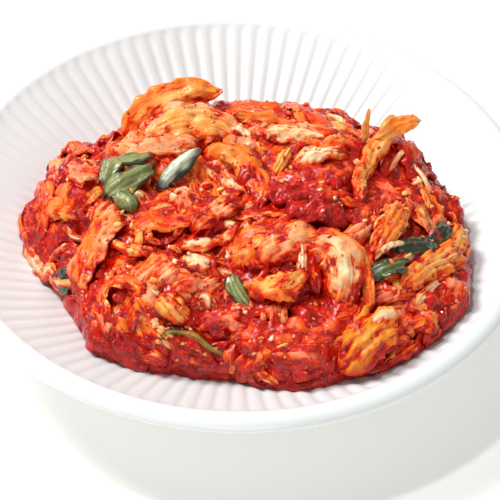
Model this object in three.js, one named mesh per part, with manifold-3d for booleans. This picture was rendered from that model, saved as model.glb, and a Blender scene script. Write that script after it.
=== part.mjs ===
// A helping of cabbage kimchi heaped in a shallow fluted white dish.
// Millimetres, +Z up. The origin is on the dish's axis, in the plane that its foot stands on.
import * as THREE from "three";
import { mergeVertices } from "three/addons/utils/BufferGeometryUtils.js";
import Module from "manifold-3d";

const wasm = await Module();
wasm.setup();

// ---------------------------------------------------------------- driving dimensions

const ringRadius = 84.2; // where the flutes end and the plain lip starts
const ringHeight = 33.4; // that ring above the table
const lipWidth = 5.8; // plain band outside the ring
const lipThickness = 3.9;
const wallThickness = 4.2;
const wallSlopeAtRing = 0.603; // fall of the inner wall per unit of radius, at the ring
const wallHollowing = 0.29; // how fast that slope eases off towards the middle
const fluteCount = 102;
const fluteDepth = 0.8;
const floorRadii = [12, 26]; // rows of the plain middle
const fluteRadii = [38, 62, 82]; // rows of the flutes, which fade in over the first two
// Steps of the rounded lip from the ring: outward, up.
const lipProfile = [
  [1.8, 0.4], [lipWidth - 1.3, 0], [lipWidth, -1.5],
  [lipWidth - 0.5, 0.7 - lipThickness], [lipWidth - 3, -lipThickness],
];
const undersideRadii = [76, 64, 53]; // rows of the underside, from the lip in to the foot
const footOuterRadius = 46;
const footWidth = 4;
const footSplay = 1; // how far the foot's two sides lean apart towards the floor
const floorUnderside = 3.1; // height of the floor's underside inside the foot
const sidesPerFlute = 3;

const clearance = 0.35; // gap kept between neighbouring pieces
const finestDetail = 0.09; // joined faces that differ by less than this are merged
const openingHeight = 8; // how far the heap is open above each green leaf
const roomMargin = 10; // room that the heap's cutting body leaves beside and above the dish
const roomHeight = 60;
const heapCentre = new THREE.Vector2(2, -11);
// Reach of the heap from its centre, every 30 degrees from +X round to +Y.
const heapReach = [67, 69, 64, 58, 60, 67, 66, 56, 59, 54, 64, 70];
const heapCrown = ringHeight + 11.5; // height of the heap's plateau above the table
const sideSteepness = 3.9; // how squarely the plateau turns down, and how much more at the back
const backSteepness = 1.3;
const keelDepth = -1; // the core's foot, below the dish's floor, where the dish cuts it off
// Swells and hollows of the heap: x, y, radius, height.
const heapSwells = [
  [-19, 25, 13, 6], [6, 24, 16, 4.5], [38, 16, 12, 3], [54, 10, 10, 3], [-50, 4, 13, 4],
  [20, -27, 16, 4.5], [44, -40, 14, 4], [-26, -42, 14, 4], [-38, -10, 10, 3],
  [-47, -17, 7, -5], [-39, 19, 7, -4], [43, 4, 7, -5], [5, -6, 12, -2], [-3, -28, 6, -3],
  [34, -48, 6, -3],
];

// Leaves and ribs: how they thin out to their sides and ends.
const edgeThinning = 0.7; // share of the thickness lost at the two long edges
const thinnestEnd = 0.35; // share of the thickness left at the blunt ends
const endBluntness = 6; // a higher power gives squarer ends
const webOverlap = 1.2; // how far the web under a piece reaches into the core
const edgeLag = 1.7; // phase between the waves of the two long edges, in radians

// The scattered pieces fill the heap where no named piece lies: ranges from low to high.
const scatter = {
  count: 88, seed: 11, freeDistance: 8.4, reach: 0.96,
  length: [18, 28], width: [7, 12], thick: [2.2, 3.4], lift: [1.2, 2.6], bend: [-4, 4],
  roll: [-18, 18], arch: [30, 80], ruffle: [0.2, 0.9],
  rimShare: 0.55, // beyond this share of the reach they lie round the heap
  rimTurn: [-0.7, 0.7], rimShortening: 0.3, rimSettling: 0.3,
};

// ---------------------------------------------------------------- small helpers

/** A seeded random number generator, giving numbers from 0 to 1. */
function makeRandom(seed) {
  let state = seed;
  return () => {
    state = (state * 1664525 + 1013904223) % 4294967296;
    return state / 4294967296;
  };
}

/** A closed geometry from corner points and triangles of their numbers. */
function geometryFrom(points, triangles) {
  const geometry = new THREE.BufferGeometry();
  const flat = points.flatMap((p) => [p.x, p.y, p.z]);
  geometry.setAttribute("position", new THREE.Float32BufferAttribute(flat, 3));
  geometry.setIndex(triangles.flat());
  return geometry;
}

/** The solid that a closed geometry bounds. */
function solidFrom(geometry) {
  const bare = geometry.clone();
  bare.deleteAttribute("normal");
  bare.deleteAttribute("uv");
  const merged = mergeVertices(bare, 1e-4);
  return new wasm.Manifold(new wasm.Mesh({
    numProp: 3,
    vertProperties: new Float32Array(merged.attributes.position.array),
    triVerts: new Uint32Array(merged.index.array),
  }));
}

/** The largest single body of a solid, without its loose scraps and sealed hollows. */
function mainBody(solid) {
  return solid.decompose().reduce((best, body) => (body.volume() > best.volume() ? body : best));
}

/** The geometry of a solid. */
function geometryOf(solid) {
  const mesh = solid.getMesh();
  const geometry = new THREE.BufferGeometry();
  geometry.setAttribute("position", new THREE.Float32BufferAttribute(mesh.vertProperties, 3));
  geometry.setIndex(Array.from(mesh.triVerts));
  return geometry;
}

// ---------------------------------------------------------------- the dish

/** Height of the dish's inner wall, at the ridges of its flutes. */
function innerWall(radius) {
  const inward = 1 - radius / ringRadius;
  return ringHeight + ringRadius * (wallHollowing * inward ** 2 - wallSlopeAtRing * inward);
}

/** One ring of corner points; one in each flute lies in its groove when grooveDepth is given. */
function ringOfPoints({ radius, height, count, grooveDepth = 0 }) {
  return Array.from({ length: count }, (_, i) => {
    const angle = (i / count) * Math.PI * 2;
    const drop = i % sidesPerFlute === 0 ? grooveDepth : 0;
    return new THREE.Vector3(radius * Math.cos(angle), radius * Math.sin(angle), height - drop);
  });
}

/** A closed body of revolution through rings of unlike counts, one a multiple of the next. */
function ringedBody(apexStart, rings, apexEnd) {
  const points = [new THREE.Vector3(0, 0, apexStart)];
  const triangles = [];
  let previous = null;
  for (const ring of rings) {
    const start = points.length;
    points.push(...ringOfPoints(ring));
    const n = ring.count;
    if (previous === null) {
      for (let i = 0; i < n; i++) triangles.push([0, start + i, start + ((i + 1) % n)]);
    } else {
      triangles.push(...stitch(previous.start, previous.count, start, n));
    }
    previous = { start, count: n };
  }
  const end = points.length;
  points.push(new THREE.Vector3(0, 0, apexEnd));
  for (let i = 0; i < previous.count; i++) {
    triangles.push([previous.start + i, end, previous.start + ((i + 1) % previous.count)]);
  }
  return geometryFrom(points, triangles);
}

/** The triangles between two rings of m and n points, where one count divides the other. */
function stitch(first, m, second, n) {
  const triangles = [];
  const few = Math.min(m, n);
  const perFew = Math.max(m, n) / few;
  for (let i = 0; i < few; i++) {
    for (let k = 0; k < perFew; k++) {
      const fine = i * perFew + k;
      if (n >= m) {
        triangles.push([first + i, second + fine, second + ((fine + 1) % n)]);
      } else {
        triangles.push([first + fine, second + i, first + ((fine + 1) % m)]);
      }
    }
    const lastFine = ((i + 1) * perFew) % Math.max(m, n);
    if (n >= m) triangles.push([first + i, second + lastFine, first + ((i + 1) % m)]);
    else triangles.push([first + lastFine, second + i, second + ((i + 1) % n)]);
  }
  return triangles;
}

const fluted = fluteCount * sidesPerFlute;
const half = fluteCount / 2;
/** A ring on the inner wall. */
const inside = (radius, count, grooveDepth = 0) => (
  { radius, height: innerWall(radius), count, grooveDepth }
);
/** A ring on the underside, below the inner wall. */
const underside = (radius) => ({ radius, height: innerWall(radius) - wallThickness, count: half });
/** A ring on the foot or inside it. */
const onFoot = (radius, height) => ({ radius, height, count: half });
const wallRows = [
  inside(floorRadii[0], fluteCount / 6), inside(floorRadii[1], half),
  inside(fluteRadii[0], fluteCount), inside(fluteRadii[1], fluted, fluteDepth),
  inside(fluteRadii[2], fluted, fluteDepth), inside(ringRadius, fluted),
];
const lipRows = lipProfile.map(([outward, up]) => (
  { radius: ringRadius + outward, height: ringHeight + up, count: fluteCount }
));
const footInnerRadius = footOuterRadius - footWidth;
const footRows = [
  onFoot(footOuterRadius + footSplay, floorUnderside), onFoot(footOuterRadius, 0),
  onFoot(footInnerRadius, 0), onFoot(footInnerRadius - footSplay, floorUnderside),
];
const dishGeometry = ringedBody(
  innerWall(0), [...wallRows, ...lipRows, ...undersideRadii.map(underside), ...footRows],
  floorUnderside,
);

/** The room inside the dish and above it, which the kimchi may fill. */
function roomAboveDish() {
  const reach = ringRadius + lipWidth + roomMargin;
  const ceiling = ringHeight + roomHeight;
  const [lipCrownOut, lipCrownUp] = lipProfile[0];
  const overLip = ringHeight + lipCrownUp + clearance;
  const radii = [0, ...floorRadii, ...fluteRadii, ringRadius];
  const profile = radii.map((r) => new THREE.Vector2(r, innerWall(r) + clearance));
  profile.push(new THREE.Vector2(ringRadius + lipCrownOut, overLip));
  profile.push(new THREE.Vector2(reach, overLip));
  profile.push(new THREE.Vector2(reach, ceiling), new THREE.Vector2(0, ceiling));
  const lathe = new THREE.LatheGeometry(profile, fluteCount / 3);
  return lathe.rotateX(Math.PI / 2);
}

// ---------------------------------------------------------------- the heap's core

/** Reach of the heap in one direction, on a smooth curve through the twelve radii. */
function reachAt(angle) {
  const n = heapReach.length;
  const place = ((angle / (Math.PI * 2)) % 1 + 1) % 1 * n;
  const i = Math.floor(place);
  const f = place - i;
  const [a, b, c, d] = [-1, 0, 1, 2].map((k) => heapReach[(i + k + n) % n]);
  return 0.5 * (2 * b + (c - a) * f + (2 * a - 5 * b + 4 * c - d) * f ** 2
    + (3 * b - a - 3 * c + d) * f ** 3);
}

/** Height of the heap's core over the table: a plateau with steep sides, and its swells. */
function coreHeight(x, y) {
  const dx = x - heapCentre.x;
  const dy = y - heapCentre.y;
  const angle = Math.atan2(dy, dx);
  const share = Math.hypot(dx, dy) / reachAt(angle);
  const floor = innerWall(Math.hypot(x, y));
  if (share >= 1) return floor;
  const squareness = sideSteepness + backSteepness * Math.sin(angle);
  const fullness = (1 - share ** squareness) ** 0.6;
  const fade = Math.min((1 - share) * 5, 1);
  let height = floor * (1 - fullness) + heapCrown * fullness;
  for (const [sx, sy, radius, rise] of heapSwells) {
    height += rise * fade * Math.exp(-((x - sx) ** 2 + (y - sy) ** 2) / radius ** 2);
  }
  return Math.max(height, floor);
}

/** The core's outward direction, taken over a few millimetres. */
function coreNormal(x, y) {
  const step = 5;
  const slopeX = (coreHeight(x + step, y) - coreHeight(x - step, y)) / (2 * step);
  const slopeY = (coreHeight(x, y + step) - coreHeight(x, y - step)) / (2 * step);
  return new THREE.Vector3(-slopeX, -slopeY, 1).normalize();
}

/** The closed core: its top, and a keel that reaches below the dish's floor. */
function coreGeometry() {
  const spokes = 24;
  const shares = [0.3, 0.55, 0.75, 0.88, 0.96, 1.0];
  const points = [new THREE.Vector3(heapCentre.x, heapCentre.y, coreHeight(...heapCentre))];
  const triangles = [];
  const at = (share, i, height) => {
    const angle = (i / spokes) * Math.PI * 2;
    const x = heapCentre.x + share * reachAt(angle) * Math.cos(angle);
    const y = heapCentre.y + share * reachAt(angle) * Math.sin(angle);
    return new THREE.Vector3(x, y, height ?? coreHeight(x, y));
  };
  for (const share of shares) {
    for (let i = 0; i < spokes; i++) points.push(at(share, i));
  }
  for (let i = 0; i < spokes; i++) points.push(at(0.9, i, keelDepth));
  points.push(new THREE.Vector3(heapCentre.x, heapCentre.y, keelDepth));
  const rings = shares.length + 1;
  for (let i = 0; i < spokes; i++) {
    const next = (i + 1) % spokes;
    triangles.push([0, 1 + i, 1 + next]);
    for (let ring = 0; ring < rings - 1; ring++) {
      const a = 1 + ring * spokes;
      const b = a + spokes;
      triangles.push([a + i, b + i, b + next], [a + i, b + next, a + next]);
    }
    const last = 1 + (rings - 1) * spokes;
    triangles.push([last + i, points.length - 1, last + next]);
  }
  return geometryFrom(points, triangles);
}

// ---------------------------------------------------------------- leaves, ribs and shreds

/**
 * A piece of leaf, rib or shred laid over the core.
 * path: plan points with the lift over the core, [x, y, lift]. width: start, middle and end.
 * thick: thickness along the spine. roll: turn about the spine, in degrees, start and end.
 * arch: angle of the cross-section's arc. ruffle and waves: height and number of edge waves.
 * keel: whether a web under the spine joins the piece to the core. grow: extra all round.
 * headroom: how far the upper face is raised, for a cutter that opens the way above.
 */
function pieceGeometry(spec) {
  const {
    path, width, thick, roll = [0, 0], arch = 50, ruffle = 0, waves = 2,
    steps = 4, across = 2, keel = true, grow = 0, headroom = 0,
  } = spec;
  const plan = new THREE.CatmullRomCurve3(
    path.map(([x, y, lift]) => new THREE.Vector3(x, y, lift)), false, "catmullrom", 0.5,
  );
  const spine = Array.from({ length: steps + 1 }, (_, i) => {
    const p = plan.getPoint(i / steps);
    return { place: new THREE.Vector3(p.x, p.y, coreHeight(p.x, p.y) + p.z), lift: p.z };
  });
  const upper = [];
  const lower = [];
  for (let i = 0; i <= steps; i++) {
    const u = i / steps;
    const { place, lift } = spine[i];
    const before = spine[Math.max(i - 1, 0)].place;
    const after = spine[Math.min(i + 1, steps)].place;
    const along = after.clone().sub(before).normalize();
    const side0 = along.clone().cross(coreNormal(place.x, place.y)).normalize();
    const out0 = side0.clone().cross(along);
    const turn = THREE.MathUtils.degToRad(THREE.MathUtils.lerp(roll[0], roll[1], u));
    const side = side0.clone().multiplyScalar(Math.cos(turn))
      .addScaledVector(out0, Math.sin(turn));
    const out = out0.clone().multiplyScalar(Math.cos(turn))
      .addScaledVector(side0, -Math.sin(turn));
    if (i === 0) place.addScaledVector(along, -grow);
    if (i === steps) place.addScaledVector(along, grow);
    const blunt = Math.sqrt(Math.max(1 - Math.abs(2 * u - 1) ** endBluntness, 0.06));
    const halfWidth = 0.5 * widthAt(width, u) * blunt + grow;
    const arc = THREE.MathUtils.degToRad(arch) / 2;
    for (let j = 0; j <= across; j++) {
      const v = (2 * j) / across - 1;
      const shift = halfWidth * (arc ? Math.sin(v * arc) / Math.sin(arc) : v);
      const crown = arc ? (halfWidth * (Math.cos(v * arc) - Math.cos(arc))) / Math.sin(arc) : 0;
      const phase = v > 0 ? edgeLag : 0;
      const wave = ruffle * Math.abs(v) ** 1.5 * Math.sin(Math.PI * 2 * waves * u + phase);
      const halfThick = 0.5 * thick * (1 - edgeThinning * Math.abs(v) ** 2.5)
        * THREE.MathUtils.lerp(thinnestEnd, 1, blunt);
      const middle = place.clone().addScaledVector(side, shift)
        .addScaledVector(out, crown + wave);
      const web = keel ? Math.max(lift + webOverlap - halfThick, 0) * (1 - v * v) : 0;
      const top = middle.clone().addScaledVector(out, halfThick + grow);
      const bottom = middle.clone().addScaledVector(out, -halfThick - grow);
      upper.push(top.setZ(top.z + headroom));
      lower.push(bottom.setZ(bottom.z - web));
    }
  }
  return slab(upper, lower, steps, across);
}

/** Width at a share of the length: half straight from end to end, half on a smooth arc. */
function widthAt([start, middle, end], u) {
  const arc = start * (1 - u) * (1 - 2 * u) + 4 * middle * u * (1 - u) + end * u * (2 * u - 1);
  const straight = u < 0.5
    ? THREE.MathUtils.lerp(start, middle, u * 2)
    : THREE.MathUtils.lerp(middle, end, u * 2 - 1);
  return 0.5 * (arc + straight);
}

/** The closed body between two like grids of points, both faces split into triangles alike. */
function slab(upper, lower, steps, across) {
  const row = across + 1;
  const under = upper.length;
  const triangles = [];
  for (let i = 0; i < steps; i++) {
    for (let j = 0; j < across; j++) {
      const [a, b, c, d] = [i * row + j, (i + 1) * row + j, (i + 1) * row + j + 1, i * row + j + 1];
      triangles.push([a, c, b], [a, d, c]);
      triangles.push([under + a, under + b, under + c], [under + a, under + c, under + d]);
    }
  }
  const rim = [];
  for (let i = 0; i < steps; i++) rim.push(i * row);
  for (let j = 0; j < across; j++) rim.push(steps * row + j);
  for (let i = steps; i > 0; i--) rim.push(i * row + across);
  for (let j = across; j > 0; j--) rim.push(j);
  rim.forEach((a, k) => {
    const b = rim[(k + 1) % rim.length];
    triangles.push([a, b, under + b], [a, under + b, under + a]);
  });
  return geometryFrom([...upper, ...lower], triangles);
}

// ---------------------------------------------------------------- the pieces that show

const standingPieces = [
  { path: [[-33, 24, 1], [-26, 27, 5], [-17, 29, 7], [-7, 31, 9]], width: [10, 13, 3],
    thick: 1.6, roll: [-80, -80], arch: 20, ruffle: 1, steps: 6 },
  { path: [[42, 16, 6], [47, 22, 9], [55, 34, 10]], width: [5, 6, 3.5],
    thick: 1.8, roll: [-55, -60], arch: 30, ruffle: 0.6 },
  { path: [[38, 16, 1], [38, 18, 6], [39, 21, 11]], width: [2.4, 2.4, 1.6], thick: 1.4, arch: 0 },
];

const broadPieces = [
  { path: [[-28, 12, 2.5], [-20, 16, 4.3], [-12, 16, 5], [-5, 14, 3.7]], width: [10, 14, 10],
    thick: 3, roll: [-40, -40], ruffle: 0.6, steps: 6 },
  { path: [[-55, 31, 1.9], [-48, 18, 2.5], [-41, 6, 1.9]], width: [7, 9, 6], thick: 2.5, roll: [20, 20] },
  { path: [[-58, 27, 1.9], [-61, 16, 1.9], [-65, 5, 1.2]], width: [7, 8, 6], thick: 2.5 },
  { path: [[-50, 1, 2.5], [-44, -5, 3.1], [-40, -3, 2.5]], width: [6, 8, 6], thick: 2.5 },
  { path: [[-58, -2, 2.5], [-51, -9, 3.1], [-44, -12, 2.5]], width: [6, 8, 6], thick: 2.5 },
  { path: [[-65, -7, 0.6], [-60, -20, 0.6], [-53, -30, 0.6], [-48, -35, 0.6]], width: [4, 5, 4],
    thick: 1.6, arch: 20, ruffle: 0.6 },
  { path: [[-36, -16, 2.5], [-42, -23, 2.5], [-45, -31, 1.9], [-45, -38, 1.2]],
    width: [9, 11, 8], thick: 2.2, ruffle: 0.8 },
  { path: [[-43, -36, 1.2], [-43, -42, 1.2], [-41, -48, 0.6]], width: [9, 11, 7], thick: 2.5 },
  { path: [[-37, -52, 1.2], [-37, -45, 2.5], [-32, -43, 3.1], [-25, -47, 2.5]],
    width: [6, 8, 4], thick: 2.2, roll: [30, 30], arch: 60, ruffle: 0.6 },
  { path: [[-22, -47, 2.5], [-19, -50, 2.5], [-13, -52, 1.9]], width: [6, 8, 6], thick: 3.5 },
  { path: [[-21, -58, 1.2], [-13, -60, 1.9], [-4, -64, 0.6]], width: [8, 12, 7], thick: 3 },
  { path: [[-13, -26, 3.1], [-7, -20, 3.7], [1, -13, 3.1]], width: [6, 7.5, 6], thick: 2.6 },
  { path: [[-10, 4, 3.1], [-5, 6, 4.3], [2, 2, 4.3], [7, -8, 3.7], [6, -16, 2.5]],
    width: [6, 9, 6], thick: 3, arch: 70, ruffle: 0.6, steps: 6 },
  { path: [[-1, -37, 2.5], [3, -36, 3.1], [6, -39, 2.5]], width: [6, 7, 5], thick: 4, steps: 4 },
  { path: [[18, -33, 3.7], [25, -36, 5], [31, -40, 5], [33, -45, 3.7]], width: [10, 15, 11],
    thick: 4, arch: 60, ruffle: 0.5, steps: 6 },
  { path: [[8, -38, 3.7], [12, -36, 4.3], [19, -34, 5]], width: [8, 10, 8], thick: 3.5, arch: 60 },
  { path: [[5, -46, 3.1], [10, -47, 4], [16, -45, 4], [21, -42, 3.7]], width: [5, 7, 5],
    thick: 3.5, arch: 80, ruffle: 0.6 },
  { path: [[8, -51, 1.9], [18, -54, 2.5], [30, -52, 2.5], [36, -47, 2.5]], width: [10, 15, 10],
    thick: 3, ruffle: 0.8, waves: 3, steps: 6 },
  { path: [[-10, -54, 1.9], [-2, -52, 2.5], [6, -55, 1.9]], width: [8, 10, 7], thick: 3 },
  { path: [[6, -60, 1.2], [14, -60, 1.9], [24, -61, 1.2]], width: [8, 11, 8], thick: 3 },
  { path: [[9, -64, 0.6], [19, -66, 0.9], [27, -65, 0.6]], width: [8, 11, 8], thick: 3 },
  { path: [[31, -65, 1.2], [37, -62, 1.9], [44, -57, 1.9]], width: [5, 7, 5], thick: 3 },
  { path: [[34, -58, 1.9], [40, -55, 2.5], [47, -51, 2.5]], width: [5, 7, 5], thick: 3 },
  { path: [[64, -4, 1.9], [67, -11, 1.9], [62, -27, 2.5], [54, -38, 2.5], [48, -47, 1.9]],
    width: [6, 7.5, 6], thick: 2, arch: 40, ruffle: 1.2, waves: 5, steps: 12 },
  { path: [[66, -26, 1.2], [64, -39, 1.2], [58, -49, 0.9]], width: [9, 12, 8], thick: 3 },
  { path: [[49, -9, 2.5], [45, -21, 3.1], [40, -34, 2.5]], width: [6, 8.5, 7], thick: 2,
    ruffle: 0.9, waves: 4, steps: 6 },
  { path: [[51, 24, 3.7], [43, 12, 5], [39, 6, 5], [36, -5, 4.3], [36, -13, 3.1]],
    width: [4, 5.5, 4], thick: 2.6, roll: [25, 25], ruffle: 0.3, steps: 6 },
  { path: [[54, 30, 2.5], [55, 18, 3.1], [57, 6, 2.5]], width: [7, 9, 7], thick: 2.4, ruffle: 0.8 },
  { path: [[9, -8, 2.5], [18, -18, 2.8], [31, -20, 2.5]], width: [12, 16, 12], thick: 4 },
  { path: [[18, -4, 2.5], [27, -4, 3.1], [35, -5, 2.5]], width: [10, 12, 9], thick: 3.5 },
];

// Leaves draped down the back of the heap.
const backPieces = [
  { path: [[-46, 27, 1.5], [-38, 33, 2], [-27, 37, 1.5]], width: [10, 14, 9], thick: 3 },
  { path: [[-33, 20, 2.5], [-31, 31, 3], [-30, 41, 1.5]], width: [9, 13, 10], thick: 3 },
  { path: [[-20, 34, 2], [-12, 40, 2.5], [-2, 42, 1.5]], width: [9, 13, 9], thick: 3 },
  { path: [[-8, 29, 2.5], [-3, 36, 3], [2, 44, 1.5]], width: [9, 12, 9], thick: 3 },
  { path: [[4, 33, 2.5], [15, 36, 3], [26, 34, 2.5]], width: [9, 13, 9], thick: 3.2 },
  { path: [[8, 42, 1.5], [19, 43, 2], [30, 40, 1.5]], width: [8, 12, 8], thick: 3 },
  { path: [[25, 25, 2.5], [31, 33, 3], [35, 40, 1.5]], width: [9, 13, 9], thick: 3 },
  { path: [[36, 36, 2], [45, 32, 2.5], [52, 26, 1.5]], width: [9, 13, 8], thick: 3 },
  { path: [[-56, 20, 1.5], [-52, 27, 2], [-45, 35, 1.2]], width: [8, 11, 7], thick: 2.6 },
  { path: [[50, 27, 1.5], [58, 19, 2], [63, 9, 1.5]], width: [8, 11, 8], thick: 2.6 },
];

const narrowPieces = [
  { path: [[-56, 22, 2.5], [-55, 11, 2.8], [-53, -2, 2.5]], width: [3, 4.5, 3], thick: 2 },
  { path: [[-62, 5, 1.2], [-65, 3, 1.2], [-64, -6, 0.9]], width: [4, 5, 4], thick: 2 },
  { path: [[-53, -12, 2.5], [-49, -16, 2.5], [-43, -20, 3.1], [-34, -16, 3.7]],
    width: [2.4, 2.6, 2.4], thick: 1.8 },
  { path: [[-21, -58, 2.5], [-19, -57, 3.1], [-13, -58, 3.1], [-7, -61, 2.5], [8, -66, 0.6]],
    width: [2, 2.4, 2], thick: 1.8, steps: 6 },
  { path: [[-38, -25, 2.5], [-31, -31, 2.5], [-24, -35, 1.9]], width: [3, 4, 3], thick: 2.2 },
  { path: [[-17, -32, 2.5], [-11, -32, 3.1], [-4, -27, 3.1], [1, -23, 2.5]],
    width: [3.5, 4.5, 3], thick: 2.5, roll: [20, 20] },
  { path: [[-16, -11, 3.1], [-16, -16, 3.1], [-14, -21, 2.5]], width: [4, 5, 4], thick: 2 },
  { path: [[-16, -38, 2.5], [-12, -38, 2.8], [-6, -37, 2.5]], width: [4.5, 5.5, 4], thick: 3 },
  { path: [[-18, -46, 2.5], [-14, -44, 2.5], [-9, -42, 2.5]], width: [4.5, 5.5, 4], thick: 3 },
  { path: [[25, -34, 4.3], [34, -39, 4.3], [38, -45, 3.1], [34, -52, 1.9]],
    width: [3.5, 5, 4.5], thick: 2.2, roll: [-20, -20] },
  { path: [[43, -63, 0.6], [49, -59, 0.9], [53, -55, 0.9]], width: [3.5, 5, 3.5], thick: 1.8 },
  { path: [[59, -36, 1.9], [55, -42, 2.2], [52, -47, 1.9]], width: [3, 3.5, 3], thick: 1.8 },
  { path: [[57, -46, 1.9], [56, -50, 1.9], [55, -54, 1.6]], width: [3, 4, 3], thick: 2 },
  { path: [[44, 6, 2.5], [49, 9, 3.7], [52, 8, 3.7], [58, 3, 2.5]], width: [4, 4.5, 4],
    thick: 1.8, roll: [-25, -25], arch: 40 },
  { path: [[7, 15, 3.1], [18, 16, 3.1], [32, 15, 3.1]], width: [3.5, 4.5, 4], thick: 3 },
  { path: [[16, 1, 3.1], [23, 5, 3.7], [33, 8, 3.7]], width: [4, 5, 4], thick: 3 },
  { path: [[-6, 24, 3.1], [3, 25, 3.7], [12, 25, 3.7], [19, 21, 2.5]], width: [3.5, 4.5, 3.5],
    thick: 2.4, roll: [-25, -25], arch: 40 },
  { path: [[-2, 19, 3.1], [0, 16, 3.4], [2, 13, 3.1]], width: [4, 5, 4], thick: 2 },
  { path: [[15, 8, 3.7], [13, 3, 4], [11, -1, 3.1]], width: [2.5, 3.5, 2.5], thick: 2.2 },
];

const greenPieces = {
  green_leaf: { path: [[-39, -10, 3.7], [-36, -3, 4.3], [-30, 2, 5], [-26, 5, 4.3]],
    width: [7, 10, 6], thick: 1.3, roll: [15, 15], ruffle: 0.8 },
  green_leaf_tail: { path: [[-36, -13, 4.3], [-33, -15, 4.3], [-32, -19, 3.7]],
    width: [5, 6, 3], thick: 1.3, arch: 60 },
  scallion_glossy: { path: [[-25, -8, 3.7], [-20, -3, 4.7], [-15, 1, 5], [-11, 5, 4.3]],
    width: [4, 5.5, 4], thick: 1.5, arch: 100 },
  scallion_front: { path: [[-1, -41, 4], [0, -45, 4], [4, -50, 2.8]],
    width: [3.5, 5.5, 4], thick: 1.4, arch: 80 },
  green_right_upper: { path: [[58, -17, 3.1], [60, -12, 3.7], [63, -15, 3.1]],
    width: [3, 4, 3], thick: 1.2 },
  green_right_middle: { path: [[48, -26, 3.1], [53, -27, 3.4], [59, -22, 3.1]],
    width: [4, 5, 4], thick: 1.2 },
  green_right_lower: { path: [[38, -42, 2.5], [44, -42, 3.1], [50, -36, 3.1]],
    width: [4, 5, 4], thick: 1.2 },
  green_left: { path: [[-53, -25, 1.9], [-51, -29, 1.9], [-48, -28, 1.9]],
    width: [4, 5, 4], thick: 1.2 },
};

/** Whether a plan point keeps off the middles of the named pieces. */
function isFree(x, y, named, distance) {
  return named.every(({ path }) => path.every(([px, py]) => Math.hypot(px - x, py - y) > distance));
}

/** Pieces scattered by the golden angle where no named piece lies, with seeded sizes. */
function scatteredPieces(named) {
  const random = makeRandom(scatter.seed);
  const pick = ([low, high]) => low + (high - low) * random();
  const goldenAngle = Math.PI * (3 - Math.sqrt(5));
  const inHeap = ([x, y]) => {
    const dx = x - heapCentre.x;
    const dy = y - heapCentre.y;
    return Math.hypot(dx, dy) < reachAt(Math.atan2(dy, dx));
  };
  return Array.from({ length: scatter.count }, (_, i) => {
    const angle = i * goldenAngle;
    const share = scatter.reach * Math.sqrt((i + 0.5) / scatter.count);
    const x = heapCentre.x + share * reachAt(angle) * Math.cos(angle);
    const y = heapCentre.y + share * reachAt(angle) * Math.sin(angle);
    const heading = share > scatter.rimShare
      ? angle + Math.PI / 2 + pick(scatter.rimTurn) : Math.PI * random();
    const length = pick(scatter.length) * (1 - scatter.rimShortening * share ** 4);
    const bend = pick(scatter.bend);
    const lift = pick(scatter.lift) * (1 - scatter.rimSettling * share ** 4);
    const path = [-0.5, 0, 0.5].map((t) => [
      x + t * length * Math.cos(heading) - (1 - 4 * t * t) * bend * Math.sin(heading),
      y + t * length * Math.sin(heading) + (1 - 4 * t * t) * bend * Math.cos(heading),
      lift * (1.3 - 1.2 * Math.abs(t)),
    ]);
    const broad = pick(scatter.width);
    return {
      path, width: [broad * 0.75, broad, broad * 0.6], thick: pick(scatter.thick),
      roll: [pick(scatter.roll), pick(scatter.roll)], arch: pick(scatter.arch),
      ruffle: pick(scatter.ruffle), steps: 4,
    };
  }).filter(({ path }) => path.every(inHeap)
    && isFree(path[1][0], path[1][1], named, scatter.freeDistance));
}

// ---------------------------------------------------------------- joining

const room = solidFrom(roomAboveDish());
const namedPieces = [...broadPieces, ...backPieces, ...narrowPieces, ...standingPieces];
const heapPieces = [
  ...scatteredPieces(namedPieces), ...broadPieces, ...backPieces, ...narrowPieces,
  ...standingPieces.map((piece) => ({ ...piece, keel: false })),
];
let heap = solidFrom(coreGeometry());
for (const piece of heapPieces) heap = heap.add(solidFrom(pieceGeometry(piece)));
heap = heap.intersect(room);
const greens = Object.entries(greenPieces).map(([name, spec]) => {
  const grow = clearance + 2 * finestDetail;
  const cutter = { ...spec, keel: false, grow, headroom: openingHeight };
  heap = heap.subtract(solidFrom(pieceGeometry(cutter)));
  return [name, pieceGeometry({ ...spec, keel: false })];
});

// ---------------------------------------------------------------- the object

const finishes = {
  glaze: { color: 0xf6f5f2, roughness: 0.25 },
  kimchi: { color: 0xb8281c, roughness: 0.3 },
  green: { color: 0x4f6a3a, roughness: 0.35 },
};

const object = new THREE.Group();
/** Adds one named mesh with its own material. */
function place(name, geometry, finish) {
  const mesh = new THREE.Mesh(geometry, new THREE.MeshStandardMaterial({ ...finish, metalness: 0 }));
  mesh.name = name;
  object.add(mesh);
}

place("dish", dishGeometry, finishes.glaze);
place("kimchi_heap", geometryOf(mainBody(heap.simplify(finestDetail))), finishes.kimchi);
for (const [name, geometry] of greens) place(name, geometry, finishes.green);

export default object;
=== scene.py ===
"""A helping of cabbage kimchi heaped in a shallow fluted white dish.

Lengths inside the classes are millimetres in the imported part's frame: +Z up, the origin on the
dish's axis in the plane of its foot. Meshes are written in metres.
"""

import logging
from dataclasses import dataclass, field
from enum import Enum
from typing import ClassVar

import bpy
import numpy as np
from mathutils import Matrix, Vector


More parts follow.
